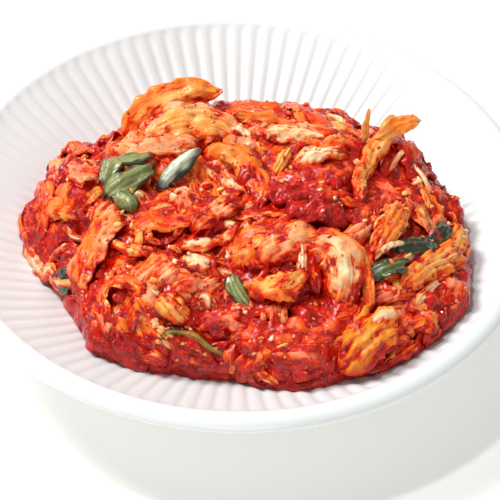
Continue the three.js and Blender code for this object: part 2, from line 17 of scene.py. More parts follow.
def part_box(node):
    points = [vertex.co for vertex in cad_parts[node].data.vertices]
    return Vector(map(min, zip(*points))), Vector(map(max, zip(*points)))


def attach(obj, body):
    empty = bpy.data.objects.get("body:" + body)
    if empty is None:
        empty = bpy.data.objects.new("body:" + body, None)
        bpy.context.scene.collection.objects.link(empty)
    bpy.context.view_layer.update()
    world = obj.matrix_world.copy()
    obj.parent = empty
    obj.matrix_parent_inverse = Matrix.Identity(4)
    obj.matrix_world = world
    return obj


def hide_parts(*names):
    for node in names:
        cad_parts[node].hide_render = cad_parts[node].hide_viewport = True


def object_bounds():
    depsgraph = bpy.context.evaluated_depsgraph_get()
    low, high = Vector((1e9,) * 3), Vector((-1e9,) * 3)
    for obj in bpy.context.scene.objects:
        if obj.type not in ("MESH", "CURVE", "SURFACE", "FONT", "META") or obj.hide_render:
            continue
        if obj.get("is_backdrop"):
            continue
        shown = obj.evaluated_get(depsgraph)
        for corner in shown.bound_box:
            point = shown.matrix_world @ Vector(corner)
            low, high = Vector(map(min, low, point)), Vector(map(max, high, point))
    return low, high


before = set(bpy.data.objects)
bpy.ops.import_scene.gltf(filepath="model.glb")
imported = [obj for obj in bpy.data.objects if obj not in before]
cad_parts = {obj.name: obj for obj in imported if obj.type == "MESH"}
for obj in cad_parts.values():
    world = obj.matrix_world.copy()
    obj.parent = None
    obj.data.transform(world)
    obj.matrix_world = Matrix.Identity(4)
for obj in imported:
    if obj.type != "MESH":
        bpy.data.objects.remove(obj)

CAD_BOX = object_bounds()
MM = 0.001
TAU = 2 * np.pi
GOLDEN_ANGLE = np.pi * (3 - 5 ** 0.5)
CAST = 30.0
Array = np.ndarray
Colour = tuple[float, float, float]
Layers = tuple[tuple[float, float, int], ...]
log = logging.getLogger("kimchi")


# ------------------------------------------------------------------ numbers


def linear(red: float, green: float, blue: float) -> Colour:
    """Linear colour of a display colour, by the sRGB curve.

    Args:
        red: red from 0 to 255.
        green: green from 0 to 255.
        blue: blue from 0 to 255.

    Returns:
        The three shares of linear light.
    """
    share = np.array([red, green, blue]) / 255
    curve = np.where(share <= 0.04045, share / 12.92, ((share + 0.055) / 1.055) ** 2.4)
    return tuple(float(c) for c in curve)


def unit(vectors: Array) -> Array:
    """Vectors scaled to length one along the last axis."""
    return vectors / np.maximum(np.linalg.norm(vectors, axis=-1, keepdims=True), 1e-9)


def smoothstep(value: Array, low: float, high: float) -> Array:
    """0 below low, 1 above high, and 3t^2 - 2t^3 of the share t between them."""
    t = np.clip((value - low) / (high - low), 0, 1)
    return t * t * (3 - 2 * t)


def lerp(start: Array, end: Array, share: Array) -> Array:
    """The mix of two values by a share from 0 to 1."""
    return start + (end - start) * share


def cubic(nearest: tuple[Array, ...], share: Array) -> Array:
    """A point on a Catmull-Rom span.

    It is half of 2b + (c - a)f + (2a - 5b + 4c - d)f^2 + (3b - a - 3c + d)f^3, where f is the
    share of the span between b and c.

    Args:
        nearest: the knots a, b, c and d.
        share: how far along the span from b to c, from 0 to 1.

    Returns:
        The point, or one for each share.
    """
    a, b, c, d = nearest
    return 0.5 * (2 * b + (c - a) * share + (2 * a - 5 * b + 4 * c - d) * share ** 2
                  + (3 * b - a - 3 * c + d) * share ** 3)


def through(knots: Array, places: Array) -> Array:
    """Points on the smooth curve through knots, which runs on straight past its ends.

    Args:
        knots: the points that the curve passes, one a row.
        places: shares of the curve's length, from 0 to 1.

    Returns:
        One point a row for each place.
    """
    padded = np.vstack([2 * knots[0] - knots[1], knots, 2 * knots[-1] - knots[-2]])
    spot = np.clip(places, 0, 1) * (len(knots) - 1)
    span = np.minimum(spot.astype(int), len(knots) - 2)
    return cubic(tuple(padded[span + k] for k in range(4)), (spot - span)[:, None])


class Waves:
    """Smooth noise of one size: the sum of plane sine waves in seeded directions."""

    def __init__(self, size: float, seed: int, count: int = 18) -> None:
        """Draws the waves.

        Args:
            size: wavelength, in the unit of the points.
            seed: seed of the draws.
            count: number of waves.
        """
        rng = np.random.default_rng(seed)
        self.directions = unit(rng.normal(size=(count, 3))) * TAU / size
        self.directions *= rng.uniform(0.75, 1.3, size=(count, 1))
        self.phases = rng.uniform(0, TAU, size=count)

    def __call__(self, points: Array) -> Array:
        """The noise at points, about zero and mostly within one either way."""
        angles = points @ self.directions.T + self.phases
        return np.sin(angles).sum(-1) * (1 / len(self.phases)) ** 0.5


def rough(points: Array, layers: Layers) -> Array:
    """Noise of several sizes, added up: each layer has its depth, its size and its seed."""
    return sum(depth * Waves(size, seed)(points) for depth, size, seed in layers)


# ------------------------------------------------------------------ meshes


@dataclass
class Patch:
    """Part of a mesh, with what its finish reads at each point.

    faces has four columns; a triangle has -1 in its last one.
    """

    points: Array
    faces: Array
    tint: Array
    sauce: Array
    fibre: Array

    @classmethod
    def plain(cls, points: Array, faces: Array) -> "Patch":
        """A patch whose finish reads nothing from its mesh."""
        size = len(points)
        return cls(points, faces, np.ones((size, 3)), np.zeros(size), np.zeros((size, 2)))

    @staticmethod
    def join(patches: list["Patch"]) -> "Patch":
        """Makes one patch of several, with the point numbers of each moved on.

        Args:
            patches: the patches.

        Returns:
            The joined patch.
        """
        starts = np.cumsum([0] + [len(p.points) for p in patches[:-1]])
        faces = [np.where(p.faces < 0, -1, p.faces + s) for p, s in zip(patches, starts)]
        return Patch(
            np.vstack([p.points for p in patches]), np.vstack(faces),
            np.vstack([p.tint for p in patches]), np.concatenate([p.sauce for p in patches]),
            np.vstack([p.fibre for p in patches]),
        )

    def build(self, name: str, material: bpy.types.Material) -> bpy.types.Object:
        """Makes the object of this patch.

        Args:
            name: the piece's name.
            material: its finish.

        Returns:
            The object, at the origin, in metres, shaded smooth.
        """
        mesh = bpy.data.meshes.new(name)
        used = self.faces >= 0
        totals = used.sum(1)
        corners = self.faces[used]
        mesh.vertices.add(len(self.points))
        mesh.vertices.foreach_set("co", (self.points * MM).ravel().astype(np.float32))
        mesh.loops.add(len(corners))
        mesh.loops.foreach_set("vertex_index", corners.astype(np.int32))
        mesh.polygons.add(len(totals))
        starts = np.cumsum(totals) - totals
        mesh.polygons.foreach_set("loop_start", starts.astype(np.int32))
        mesh.update(calc_edges=True)
        mesh.validate()
        mesh.shade_smooth()
        tint = mesh.attributes.new("tint", "FLOAT_COLOR", "POINT")
        rgba = np.column_stack([self.tint, np.ones(len(self.tint))])
        tint.data.foreach_set("color", rgba.ravel().astype(np.float32))
        sauce = mesh.attributes.new("sauce", "FLOAT", "POINT")
        sauce.data.foreach_set("value", self.sauce.astype(np.float32))
        layer = mesh.uv_layers.new(name="fibre")
        order = np.empty(len(mesh.loops), np.int32)
        mesh.loops.foreach_get("vertex_index", order)
        layer.data.foreach_set("uv", self.fibre[order].ravel().astype(np.float32))
        mesh.materials.append(material)
        piece = bpy.data.objects.new(name, mesh)
        bpy.context.scene.collection.objects.link(piece)
        return piece


def slab_faces(rows: int, columns: int) -> Array:
    """Faces of the closed body between an upper and a lower grid of points.

    The upper grid comes first, row by row, then the lower one. Each has its quads, and a rim
    of quads joins their edges.

    Args:
        rows: number of point rows of a grid.
        columns: number of points in a row.

    Returns:
        The quads, wound outwards when row x column points up on the upper grid.
    """
    number = np.arange(rows * columns).reshape(rows, columns)
    a, b = number[:-1, :-1].ravel(), number[1:, :-1].ravel()
    c, d = number[1:, 1:].ravel(), number[:-1, 1:].ravel()
    upper = np.column_stack([a, b, c, d])
    lower = np.column_stack([a, d, c, b]) + rows * columns
    rim = np.concatenate([number[:-1, 0], number[-1, :-1], number[:0:-1, -1], number[0, :0:-1]])
    onward = np.roll(rim, -1)
    side = np.column_stack([rim, rim + rows * columns, onward + rows * columns, onward])
    return np.vstack([upper, lower, side])


def ring_faces(rings: int, spokes: int) -> Array:
    """Faces of the closed body through a stack of rings, with a tip at either end.

    The points are the rings, one after another, then the tip before the first ring and the one
    after the last.

    Args:
        rings: number of rings.
        spokes: number of points in a ring.

    Returns:
        Quads between the rings and triangles to the tips, wound outwards where the rings run
        anticlockwise and each lies outside the one before or under it.
    """
    number = np.arange(rings * spokes).reshape(rings, spokes)
    onward = np.roll(number, -1, axis=1)
    quads = np.stack([number[:-1], number[1:], onward[1:], onward[:-1]], -1).reshape(-1, 4)
    none = np.full(spokes, -1)
    first_tip, last_tip = none + 1 + rings * spokes, none + 2 + rings * spokes
    first = np.column_stack([first_tip, number[0], onward[0], none])
    last = np.column_stack([last_tip, onward[-1], number[-1], none])
    return np.vstack([quads, first, last])


# ------------------------------------------------------------------ shader maths


class Socket:
    """An output of a node, on which Python's operators add Math nodes."""

    def __init__(self, shader: "Shader", output: bpy.types.NodeSocket) -> None:
        """Wraps one output of one node."""
        self.shader = shader
        self.output = output

    def _math(self, operation: str, first: object, second: object) -> "Socket":
        """A Math node on two values or sockets."""
        node = self.shader.node("ShaderNodeMath", {"operation": operation}, {0: first, 1: second})
        return Socket(self.shader, node.outputs[0])

    def __add__(self, other: object) -> "Socket":
        """self + other."""
        return self._math("ADD", self, other)

    __radd__ = __add__

    def __sub__(self, other: object) -> "Socket":
        """self - other."""
        return self._math("SUBTRACT", self, other)

    def __rsub__(self, other: object) -> "Socket":
        """other - self."""
        return self._math("SUBTRACT", other, self)

    def __mul__(self, other: object) -> "Socket":
        """self * other."""
        return self._math("MULTIPLY", self, other)

    __rmul__ = __mul__

    def step(self, low: float, high: float) -> "Socket":
        """Adds a smooth step.

        Args:
            low: the value up to which it is 0.
            high: the value from which it is 1.

        Returns:
            The step.
        """
        inputs = {0: self, 1: low, 2: high, 3: 0.0, 4: 1.0}
        node = self.shader.node("ShaderNodeMapRange", {"interpolation_type": "SMOOTHSTEP"}, inputs)
        return Socket(self.shader, node.outputs[0])


class Shader:
    """A material under construction."""

    def __init__(self, name: str) -> None:
        """Starts a material with a Principled shader of its own.

        Args:
            name: the material's name.
        """
        self.material = bpy.data.materials.new(name)
        self.material.use_nodes = True
        self.tree = self.material.node_tree
        self.tree.nodes.clear()
        self.principled = self.node("ShaderNodeBsdfPrincipled", {}, {})
        self.node("ShaderNodeOutputMaterial", {}, {"Surface": self.principled.outputs[0]})

    def node(self, kind: str, settings: dict, inputs: dict) -> bpy.types.Node:
        """Adds a node.

        Args:
            kind: the node's type name.
            settings: its properties, set first.
            inputs: values or links of its sockets, by name or number.

        Returns:
            The node.
        """
        node = self.tree.nodes.new(kind)
        for key, value in settings.items():
            setattr(node, key, value)
        for key, value in inputs.items():
            self.feed(node.inputs[key], value)
        return node

    def feed(self, socket: bpy.types.NodeSocket, value: object) -> None:
        """Gives an input a link, a colour or a plain value.

        Args:
            socket: the input.
            value: the output to link to it, wrapped or not, or the value to set.
        """
        if isinstance(value, Socket):
            value = value.output
        if isinstance(value, bpy.types.NodeSocket):
            self.tree.links.new(value, socket)
        elif isinstance(value, tuple) and len(value) == 3 and socket.type == "RGBA":
            socket.default_value = (*value, 1.0)
        else:
            socket.default_value = value

    def place(self) -> bpy.types.NodeSocket:
        """Object coordinates, in metres."""
        return self.node("ShaderNodeTexCoord", {}, {}).outputs["Object"]

    def fibres(self, along: float, across: float) -> bpy.types.NodeSocket:
        """The fibre map, scaled for a pattern that follows the piece.

        Args:
            along: the pattern's length, in millimetres.
            across: its width, in millimetres.

        Returns:
            The scaled coordinates.
        """
        layer = self.node("ShaderNodeUVMap", {"uv_map": "fibre"}, {})
        scale = {0: layer.outputs[0], "Scale": (1 / along, 1 / across, 1.0)}
        return self.node("ShaderNodeMapping", {}, scale).outputs[0]

    def value(self, name: str) -> Socket:
        """The number that the mesh holds under a name."""
        found = self.node("ShaderNodeAttribute", {"attribute_name": name}, {})
        return Socket(self, found.outputs["Fac"])

    def colour(self, name: str) -> bpy.types.NodeSocket:
        """The colour that the mesh holds under a name."""
        return self.node("ShaderNodeAttribute", {"attribute_name": name}, {}).outputs["Color"]

    def noise(self, vector: object, size: float, detail: float = 2.0, harsh: float = 0.5) -> Socket:
        """Noise around 0.5, of a size in the vector's unit, with finer layers in its detail."""
        inputs = {"Vector": vector, "Scale": 1 / size, "Detail": detail, "Roughness": harsh}
        return Socket(self, self.node("ShaderNodeTexNoise", {}, inputs).outputs[0])

    def cells(self, vector: object, size: float) -> Socket:
        """Distance from the nearest of points scattered about one size apart."""
        inputs = {"Vector": vector, "Scale": 1 / size, "Randomness": 1.0}
        return Socket(self, self.node("ShaderNodeTexVoronoi", {}, inputs).outputs["Distance"])

    def mix(self, share: object, first: object, second: object) -> bpy.types.NodeSocket:
        """Two colours mixed by a share."""
        inputs = {0: share, 6: first, 7: second}
        return self.node("ShaderNodeMix", {"data_type": "RGBA"}, inputs).outputs[2]

    def tinted(self, colour: object, by: Colour) -> bpy.types.NodeSocket:
        """A colour multiplied by another."""
        settings = {"data_type": "RGBA", "blend_type": "MULTIPLY"}
        return self.node("ShaderNodeMix", settings, {0: 1.0, 6: colour, 7: by}).outputs[2]

    def bump(self, height: Socket, depth: float, under: object = None) -> bpy.types.NodeSocket:
        """A normal from a height.

        Args:
            height: the height, from 0 to 1.
            depth: the depth of the whole relief, in millimetres.
            under: another normal that this one lies over.

        Returns:
            The normal.
        """
        inputs = {"Height": height, "Distance": depth * MM, "Strength": 1.0}
        if under is not None:
            inputs["Normal"] = under
        return self.node("ShaderNodeBump", {}, inputs).outputs[0]

    def finish(self, **sockets: object) -> bpy.types.Material:
        """Sets sockets of the Principled shader.

        Args:
            sockets: values or links, by the sockets' names with underscores for spaces.

        Returns:
            The finished material.
        """
        for key, value in sockets.items():
            self.feed(self.principled.inputs[key.replace("_", " ")], value)
        return self.material


# ------------------------------------------------------------------ finishes


class Tone(Enum):
    """Colours of cabbage, sauce and leaf, before the sauce lies over them."""

    CREAM = linear(255, 214, 172)
    YELLOW = linear(254, 178, 96)
    PEACH = linear(252, 170, 124)
    ORANGE = linear(250, 132, 50)
    RED = linear(236, 98, 38)
    DEEP = linear(196, 38, 20)
    PINK = linear(244, 132, 96)
    OLIVE = linear(160, 132, 60)
    GREEN = linear(104, 120, 66)
    DARK_GREEN = linear(48, 54, 32)
    GOLD = linear(238, 148, 48)
    # partly the scallion's pale inner skin, partly a painted highlight on its middle
    WHITE_GREEN_GLARE = linear(236, 240, 222)
    PALE_GREEN = linear(168, 172, 112)


@dataclass(frozen=True)
class SauceFinish:
    """Wet cabbage under chilli sauce: bare, then stained by a thin film, then covered.

    Sizes are millimetres, those of fibres and patches along and across a piece. film_sets and
    sauce_sets are the ranges of wetness over which the film and the sauce set in.
    """

    name: str
    deep: Colour = linear(146, 3, 6)
    bright: Colour = linear(212, 30, 6)
    film: Colour = (0.95, 0.25, 0.05)
    fibre: Colour = (1.0, 0.68, 0.42)
    fibres: tuple[float, float] = (11.0, 0.8)
    patches: tuple[float, float] = (5.94, 2.7)
    film_sets: tuple[float, float] = (0.34, 0.56)
    sauce_sets: tuple[float, float] = (0.55, 0.68)
    cloud: float = 3.4
    grit: float = 1.5
    speck: float = 1.25
    grain: float = 1.3
    skin: float = 0.6

    def material(self) -> bpy.types.Material:
        """Builds the material: fibres, film, sauce, chilli specks and a lumpy wet surface.

        Returns:
            The material.
        """
        shader = Shader(self.name)
        place = shader.place()
        streaks = shader.noise(shader.fibres(*self.fibres), 1.0, 3.0, 0.6)
        tint = shader.colour("tint")
        bare = shader.mix(streaks.step(0.36, 0.6), shader.tinted(tint, self.fibre), tint)
        patches = shader.noise(shader.fibres(*self.patches), 1.0, 4.0, 0.7)
        spread = 2.0 * (patches - 0.5) + 0.7 * (0.5 - streaks)
        wetness = spread + 0.5 + (shader.value("sauce") - 0.5) * 0.7
        film = wetness.step(*self.film_sets)
        stained = shader.mix(film, bare, shader.tinted(bare, self.film))
        cover = wetness.step(*self.sauce_sets)
        grit = 1 - shader.cells(place, self.grit * MM).step(0.05, 0.6)
        body = shader.noise(place, self.cloud * MM, 3.0, 0.55)
        sauce = shader.mix((0.88 * body + 0.12 * grit).step(0.28, 0.66), self.deep, self.bright)
        speck = 1 - shader.cells(place, self.speck * MM).step(0.1, 0.26)
        strewn = shader.noise(place, 4.0 * MM, 2.0).step(0.42, 0.6)
        flecked = shader.mix(speck * strewn * 0.4, shader.mix(cover, stained, sauce), self.deep)
        grain = shader.noise(place, self.grain * MM, 3.0, 0.55)
        skin = shader.noise(place, self.skin * MM, 1.0, 0.5)
        coarse = shader.bump(grain, 0.4, shader.bump(grit * cover, 0.22))
        normal = shader.bump(skin, 0.08, shader.bump(streaks, 0.25, coarse))
        return shader.finish(
            Base_Color=flecked, Roughness=0.08 + 0.12 * skin.step(0.3, 0.7), Normal=normal,
            Coat_Weight=0.12 + 0.34 * cover, Coat_Roughness=0.03, Coat_IOR=1.45,
            Specular_IOR_Level=0.24, Subsurface_Weight=0.08, Subsurface_Radius=(1.0, 0.25, 0.08),
            Subsurface_Scale=2.0 * MM, IOR=1.42,
        )


@dataclass(frozen=True)
class LeafFinish:
    """Wet green leaf with fine lengthwise veins and a little sauce on it."""

    name: str
    sauce: Colour = linear(190, 30, 20)
    vein: Colour = (0.42, 0.46, 0.36)
    veins: tuple[float, float] = (14.0, 0.7)
    spot: float = 2.4
    grain: float = 1.1

    def material(self) -> bpy.types.Material:
        """Builds the material: veins across the tint, spots of sauce and a wet coat.

        Returns:
            The material.
        """
        shader = Shader(self.name)
        place = shader.place()
        veins = shader.noise(shader.fibres(*self.veins), 1.0, 2.0, 0.5)
        tint = shader.colour("tint")
        leaf = shader.mix(veins.step(0.4, 0.66), shader.tinted(tint, self.vein), tint)
        spots = shader.noise(place, self.spot * MM, 3.0, 0.6)
        cover = (spots + (shader.value("sauce") - 0.5) * 0.5).step(0.55, 0.64)
        grain = shader.noise(place, self.grain * MM, 2.0, 0.5)
        return shader.finish(
            Base_Color=shader.mix(cover, leaf, self.sauce), Roughness=0.2 + 0.2 * grain,
            Normal=shader.bump(veins, 0.16, shader.bump(grain, 0.32)), Coat_Weight=0.7,
            Coat_Roughness=0.04, Coat_IOR=1.45, Subsurface_Weight=0.06,
            Subsurface_Radius=(0.5, 1.0, 0.3), Subsurface_Scale=1.0 * MM, IOR=1.42,
        )


@dataclass(frozen=True)
class BitFinish:
    """Seeds, garlic and flakes: their own tint under a wet coat."""

    name: str
    shade: Colour = (0.9, 0.7, 0.55)
    mottle: float = 0.9

    def material(self) -> bpy.types.Material:
        """Builds the material.

        Returns:
            The material.
        """
        shader = Shader(self.name)
        mottle = shader.noise(shader.place(), self.mottle * MM, 2.0, 0.6)
        tint = shader.colour("tint")
        colour = shader.mix(mottle.step(0.35, 0.65), shader.tinted(tint, self.shade), tint)
        return shader.finish(
            Base_Color=colour, Roughness=0.25 + 0.2 * mottle, Normal=shader.bump(mottle, 0.12),
            Coat_Weight=0.8, Coat_Roughness=0.05, Subsurface_Weight=0.15,
            Subsurface_Radius=(1.0, 0.6, 0.3), Subsurface_Scale=1.0 * MM, IOR=1.42,
        )


@dataclass(frozen=True)
class GlazeFinish:
    """White glaze, with the faint unevenness of a fired surface."""

    name: str
    colour: Colour = (0.815, 0.85, 0.845)
    shade: Colour = (0.795, 0.83, 0.825)
    drift: float = 30.0
    skin: float = 2.2

    def material(self) -> bpy.types.Material:
        """Builds the material.

        Returns:
            The material.
        """
        shader = Shader(self.name)
        place = shader.place()
        drift = shader.noise(place, self.drift * MM, 2.0)
        skin = shader.noise(place, self.skin * MM, 2.0)
        return shader.finish(
            Base_Color=shader.mix(drift.step(0.3, 0.7), self.colour, self.shade),
            Roughness=0.3 + 0.1 * skin, Normal=shader.bump(skin, 0.02),
            Coat_Weight=0.35, Coat_Roughness=0.12, IOR=1.5,
        )


@dataclass(frozen=True)
class TableFinish:
    """Matt pale table, which gives off a little light of its own."""

    name: str
    colour: Colour = (0.93, 0.918, 0.89)
    glow: float = 0.2
    grain: float = 1.5

    def material(self) -> bpy.types.Material:
        """Builds the material.

        Returns:
            The material.
        """
        shader = Shader(self.name)
        grain = shader.noise(shader.place(), self.grain * MM, 3.0)
        dark = tuple(0.985 * c for c in self.colour)
        return shader.finish(
            Base_Color=shader.mix(grain, dark, self.colour), Roughness=0.75,
            Emission_Color=self.colour, Emission_Strength=self.glow,
        )


# ------------------------------------------------------------------ the dish


@dataclass
class Dish:
    """The fluted dish: a body of revolution whose inner wall is scalloped into flutes.

    slope is the inner wall's fall per unit of radius at the ring where the flutes end, and
    hollowing how fast that eases off towards the middle. The flutes set in between the two
    radii of sets_in and run out over runs_out before the ring.
    """

    outer_radius: float = 1000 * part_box("dish")[1].x
    lip_width: float = 5.8
    crown: float = 0.4
    lip_thickness: float = 3.9
    wall: float = 4.2
    slope: float = 0.603
    hollowing: float = 0.29
    flutes: int = 102
    flute_depth: float = 0.44
    softness: float = 1.5
    sets_in: tuple[float, float] = (26, 52)
    runs_out: float = 3.2
    groove_angle: float = -90.36
    per_flute: int = 12
    foot_radius: float = 46.0
    foot_width: float = 4.0
    underside: float = 3.1
    ring: float = field(init=False)
    ring_height: float = field(init=False)

    def __post_init__(self) -> None:
        """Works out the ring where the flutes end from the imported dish."""
        self.ring = self.outer_radius - self.lip_width
        self.ring_height = 1000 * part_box("dish")[1].z - self.crown

    def height(self, radius: Array) -> Array:
        """Height of the inner wall.

        With t the share of the ring's radius still to go, it is the ring's height less slope
        times t plus hollowing times t squared, times that radius.

        Args:
            radius: distance from the axis.

        Returns:
            Height over the table.
        """
        t = 1 - np.asarray(radius) / self.ring
        return self.ring_height + self.ring * (self.hollowing * t ** 2 - self.slope * t)

    def profile(self) -> tuple[Array, Array, Array]:
        """The section from the middle of the floor, over the lip, to the middle below.

        Returns:
            Radius, height and flute depth of each row.
        """
        edge = 0.5
        inner = np.concatenate([
            np.linspace(0, 30, 7)[1:], np.linspace(33, 78, 22), np.linspace(78.6, self.ring, 12),
        ])
        to_ring = np.clip((self.ring - edge - inner) / self.runs_out, 0, 1)
        share = smoothstep(inner, *self.sets_in) * (1 - (1 - to_ring) ** 2) ** 0.5
        lip = np.array([
            (edge, 0.22), (1.1, 0.36), (1.8, self.crown), (2.7, 0.34), (3.6, 0.12), (4.3, -0.2),
            (5.0, -0.75), (5.5, -1.35), (self.lip_width, -2.0), (5.7, -2.6), (5.2, -3.15),
            (4.3, -3.6), (2.8, -self.lip_thickness), (edge, -self.lip_thickness - 0.5),
        ])
        under = np.linspace(self.ring - 4, self.foot_radius + 5.5, 10)
        foot = np.array([
            (2.4, 9.4), (1.3, 7.6), (0.7, 5.2), (0.3, 2.6), (0.0, 0.9), (-0.4, 0.25), (-1.0, 0.0),
        ])
        inside = np.array([
            (1.0, 0.0), (0.3, 0.3), (-0.1, 1.2), (-0.7, self.underside - 0.4),
            (-1.8, self.underside), (-16, self.underside), (-34, self.underside),
        ])
        rows = [
            (inner, self.height(inner), self.flute_depth * share),
            (self.ring + lip[:, 0], self.ring_height + lip[:, 1], 0 * lip[:, 0]),
            (under, self.height(under) - self.wall, 0 * under),
            (self.foot_radius + foot[:, 0], foot[:, 1], 0 * foot[:, 0]),
            (self.foot_radius - self.foot_width + inside[:, 0], inside[:, 1], 0 * inside[:, 0]),
        ]
        return tuple(np.concatenate(part) for part in zip(*rows))

    def build(self, finish: GlazeFinish) -> bpy.types.Object:
        """Turns the section round, with a groove between flutes.

        A groove's depth follows (half of 1 + cos)^softness round the dish.

        Args:
            finish: the glaze.

        Returns:
            The object.
        """
        count = self.flutes * self.per_flute
        turn = np.arange(count) / count
        angle = turn * TAU + np.radians(self.groove_angle)
        groove = (0.5 + 0.5 * np.cos(TAU * turn * self.flutes)) ** self.softness
        radius, height, depth = (row[:, None] for row in self.profile())
        rings = np.stack([radius * np.cos(angle), radius * np.sin(angle),
                          height - depth * groove], -1)
        tips = [[0, 0, float(self.height(0))], [0, 0, self.underside]]
        points = np.vstack([rings.reshape(-1, 3), tips])
        faces = ring_faces(len(radius), count)
        return Patch.plain(points, faces).build("fluted_dish", finish.material())


# ------------------------------------------------------------------ the heap's form


@dataclass
class Mound:
    """The smooth form under the leaves: a plateau with steep sides, swells and hollows.

    reach holds the radii of its edge about the centre, evenly spread from +X round to +Y, and
    wobbles the number and depth of small waves on them. steepness is the power of its sides
    and what the back adds to it, and fullness the power of its plateau's edge. Swells set in
    over one part in fading of the reach. Each has its place, its radius and its rise. overhang
    is the share of a piece's overhang that is left to it.
    """

    dish: Dish
    centre: tuple[float, float] = (2.0, -11.0)
    reach: tuple[float, ...] = (
        66.5, 65.5, 65, 64, 61.5, 58.5, 56.5, 57.5, 58.5, 62, 66.5, 66.5,
        64, 57.5, 57, 60.5, 56.4, 51.2, 52.4, 60.4, 63.6, 68.4, 70.2, 68.6,
    )
    wobbles: tuple[tuple[float, float], ...] = ((13, 0.6), (22, 0.5), (35, 0.4))
    crown: float = 11.5
    steepness: tuple[float, float] = (3.9, 1.3)
    fullness: float = 0.6
    fading: float = 5.0
    overhang: float = 0.5
    swells: tuple[tuple[float, float, float, float], ...] = (
        (-19, 25, 13, 4), (6, 24, 16, 2.4), (38, 18, 12, 1.2), (52, 13, 11, 5.2), (-50, 4, 13, 4),
        (20, -27, 16, 4.5), (44, -40, 14, 4), (-26, -42, 14, 4), (-38, -10, 10, 3),
        (-47, -17, 7, -5), (-39, 19, 7, -4), (43, 4, 7, -5), (5, -6, 12, -2), (-3, -28, 6, -3),
        (34, -48, 6, -3),
    )

    def reach_at(self, angle: Array) -> Array:
        """Reach from the centre: a cubic through the listed radii, and a few small waves.

        Args:
            angle: direction from +X towards +Y.

        Returns:
            Distance from the centre to the heap's edge.
        """
        radii = np.array(self.reach, float)
        place = (angle / TAU) % 1.0 * len(radii)
        before = np.floor(place).astype(int)
        nearest = tuple(radii[(before + k) % len(radii)] for k in (-1, 0, 1, 2))
        uneven = sum(depth * np.sin(count * (angle + 1)) for count, depth in self.wobbles)
        return uneven + cubic(nearest, place - before)

    def plan(self, angle: Array, share: Array) -> tuple[Array, Array]:
        """Plan coordinates of the place at a share of the heap's reach in a direction."""
        reach = share * self.reach_at(angle)
        return self.centre[0] + reach * np.cos(angle), self.centre[1] + reach * np.sin(angle)

    def share(self, x: Array, y: Array) -> Array:
        """Distance from the centre as a share of the heap's reach that way."""
        dx, dy = x - self.centre[0], y - self.centre[1]
        return np.hypot(dx, dy) / self.reach_at(np.arctan2(dy, dx))

    def height(self, x: Array, y: Array) -> Array:
        """Height over the table.

        Over the dish it is (1 - share^n)^fullness of the plateau, with n larger at the back.
        Each swell adds a bell, which fades out towards the edge.

        Args:
            x: plan coordinate.
            y: plan coordinate.

        Returns:
            The height, nowhere under the dish's inner wall.
        """
        angle = np.arctan2(y - self.centre[1], x - self.centre[0])
        share = np.minimum(self.share(x, y), 1)
        floor = self.dish.height(np.hypot(x, y))
        power = self.steepness[0] + self.steepness[1] * np.sin(angle)
        full = (1 - share ** power) ** self.fullness
        height = floor * (1 - full) + (self.dish.ring_height + self.crown) * full
        fade = np.minimum((1 - share) * self.fading, 1)
        for swell_x, swell_y, radius, rise in self.swells:
            bell = np.exp(-((x - swell_x) ** 2 + (y - swell_y) ** 2) / radius ** 2)
            height = height + rise * fade * bell
        return np.maximum(height, floor)

    def normal(self, x: Array, y: Array, step: float = 5.0) -> Array:
        """Outward direction, from the height's differences.

        Args:
            x: plan coordinate.
            y: plan coordinate.
            step: how far to either side the height is taken.

        Returns:
            Unit vectors.
        """
        slope_x = (self.height(x + step, y) - self.height(x - step, y)) / (2 * step)
        slope_y = (self.height(x, y + step) - self.height(x, y - step)) / (2 * step)
        return unit(np.stack([-slope_x, -slope_y, np.ones_like(slope_x)], -1))

    def gathered(self, points: Array) -> Array:
        """Draws points beyond the heap's reach in towards it, by part of their overhang.

        Args:
            points: the points.

        Returns:
            The points drawn in.
        """
        share = np.maximum(self.share(points[..., 0], points[..., 1]), 1e-6)
        kept = 1 + self.overhang * (share - 1)
        pull = np.where(share > 1, kept / share, 1.0)[..., None]
        middle = np.array(self.centre)
        drawn = points.copy()
        drawn[..., :2] = middle + (points[..., :2] - middle) * pull
        return drawn

    def lifted(self, points: Array, gap: float = 0.15) -> Array:
        """Raises points where needed to lie on the dish's inner wall.

        Args:
            points: the points.
            gap: how far over the wall they stay.

        Returns:
            The raised points.
        """
        radius = np.hypot(points[..., 0], points[..., 1])
        floor = self.dish.height(np.minimum(radius, self.dish.ring)) + gap
        raised = points.copy()
        raised[..., 2] = np.maximum(points[..., 2], floor)
        return raised


# ------------------------------------------------------------------ a piece of leaf


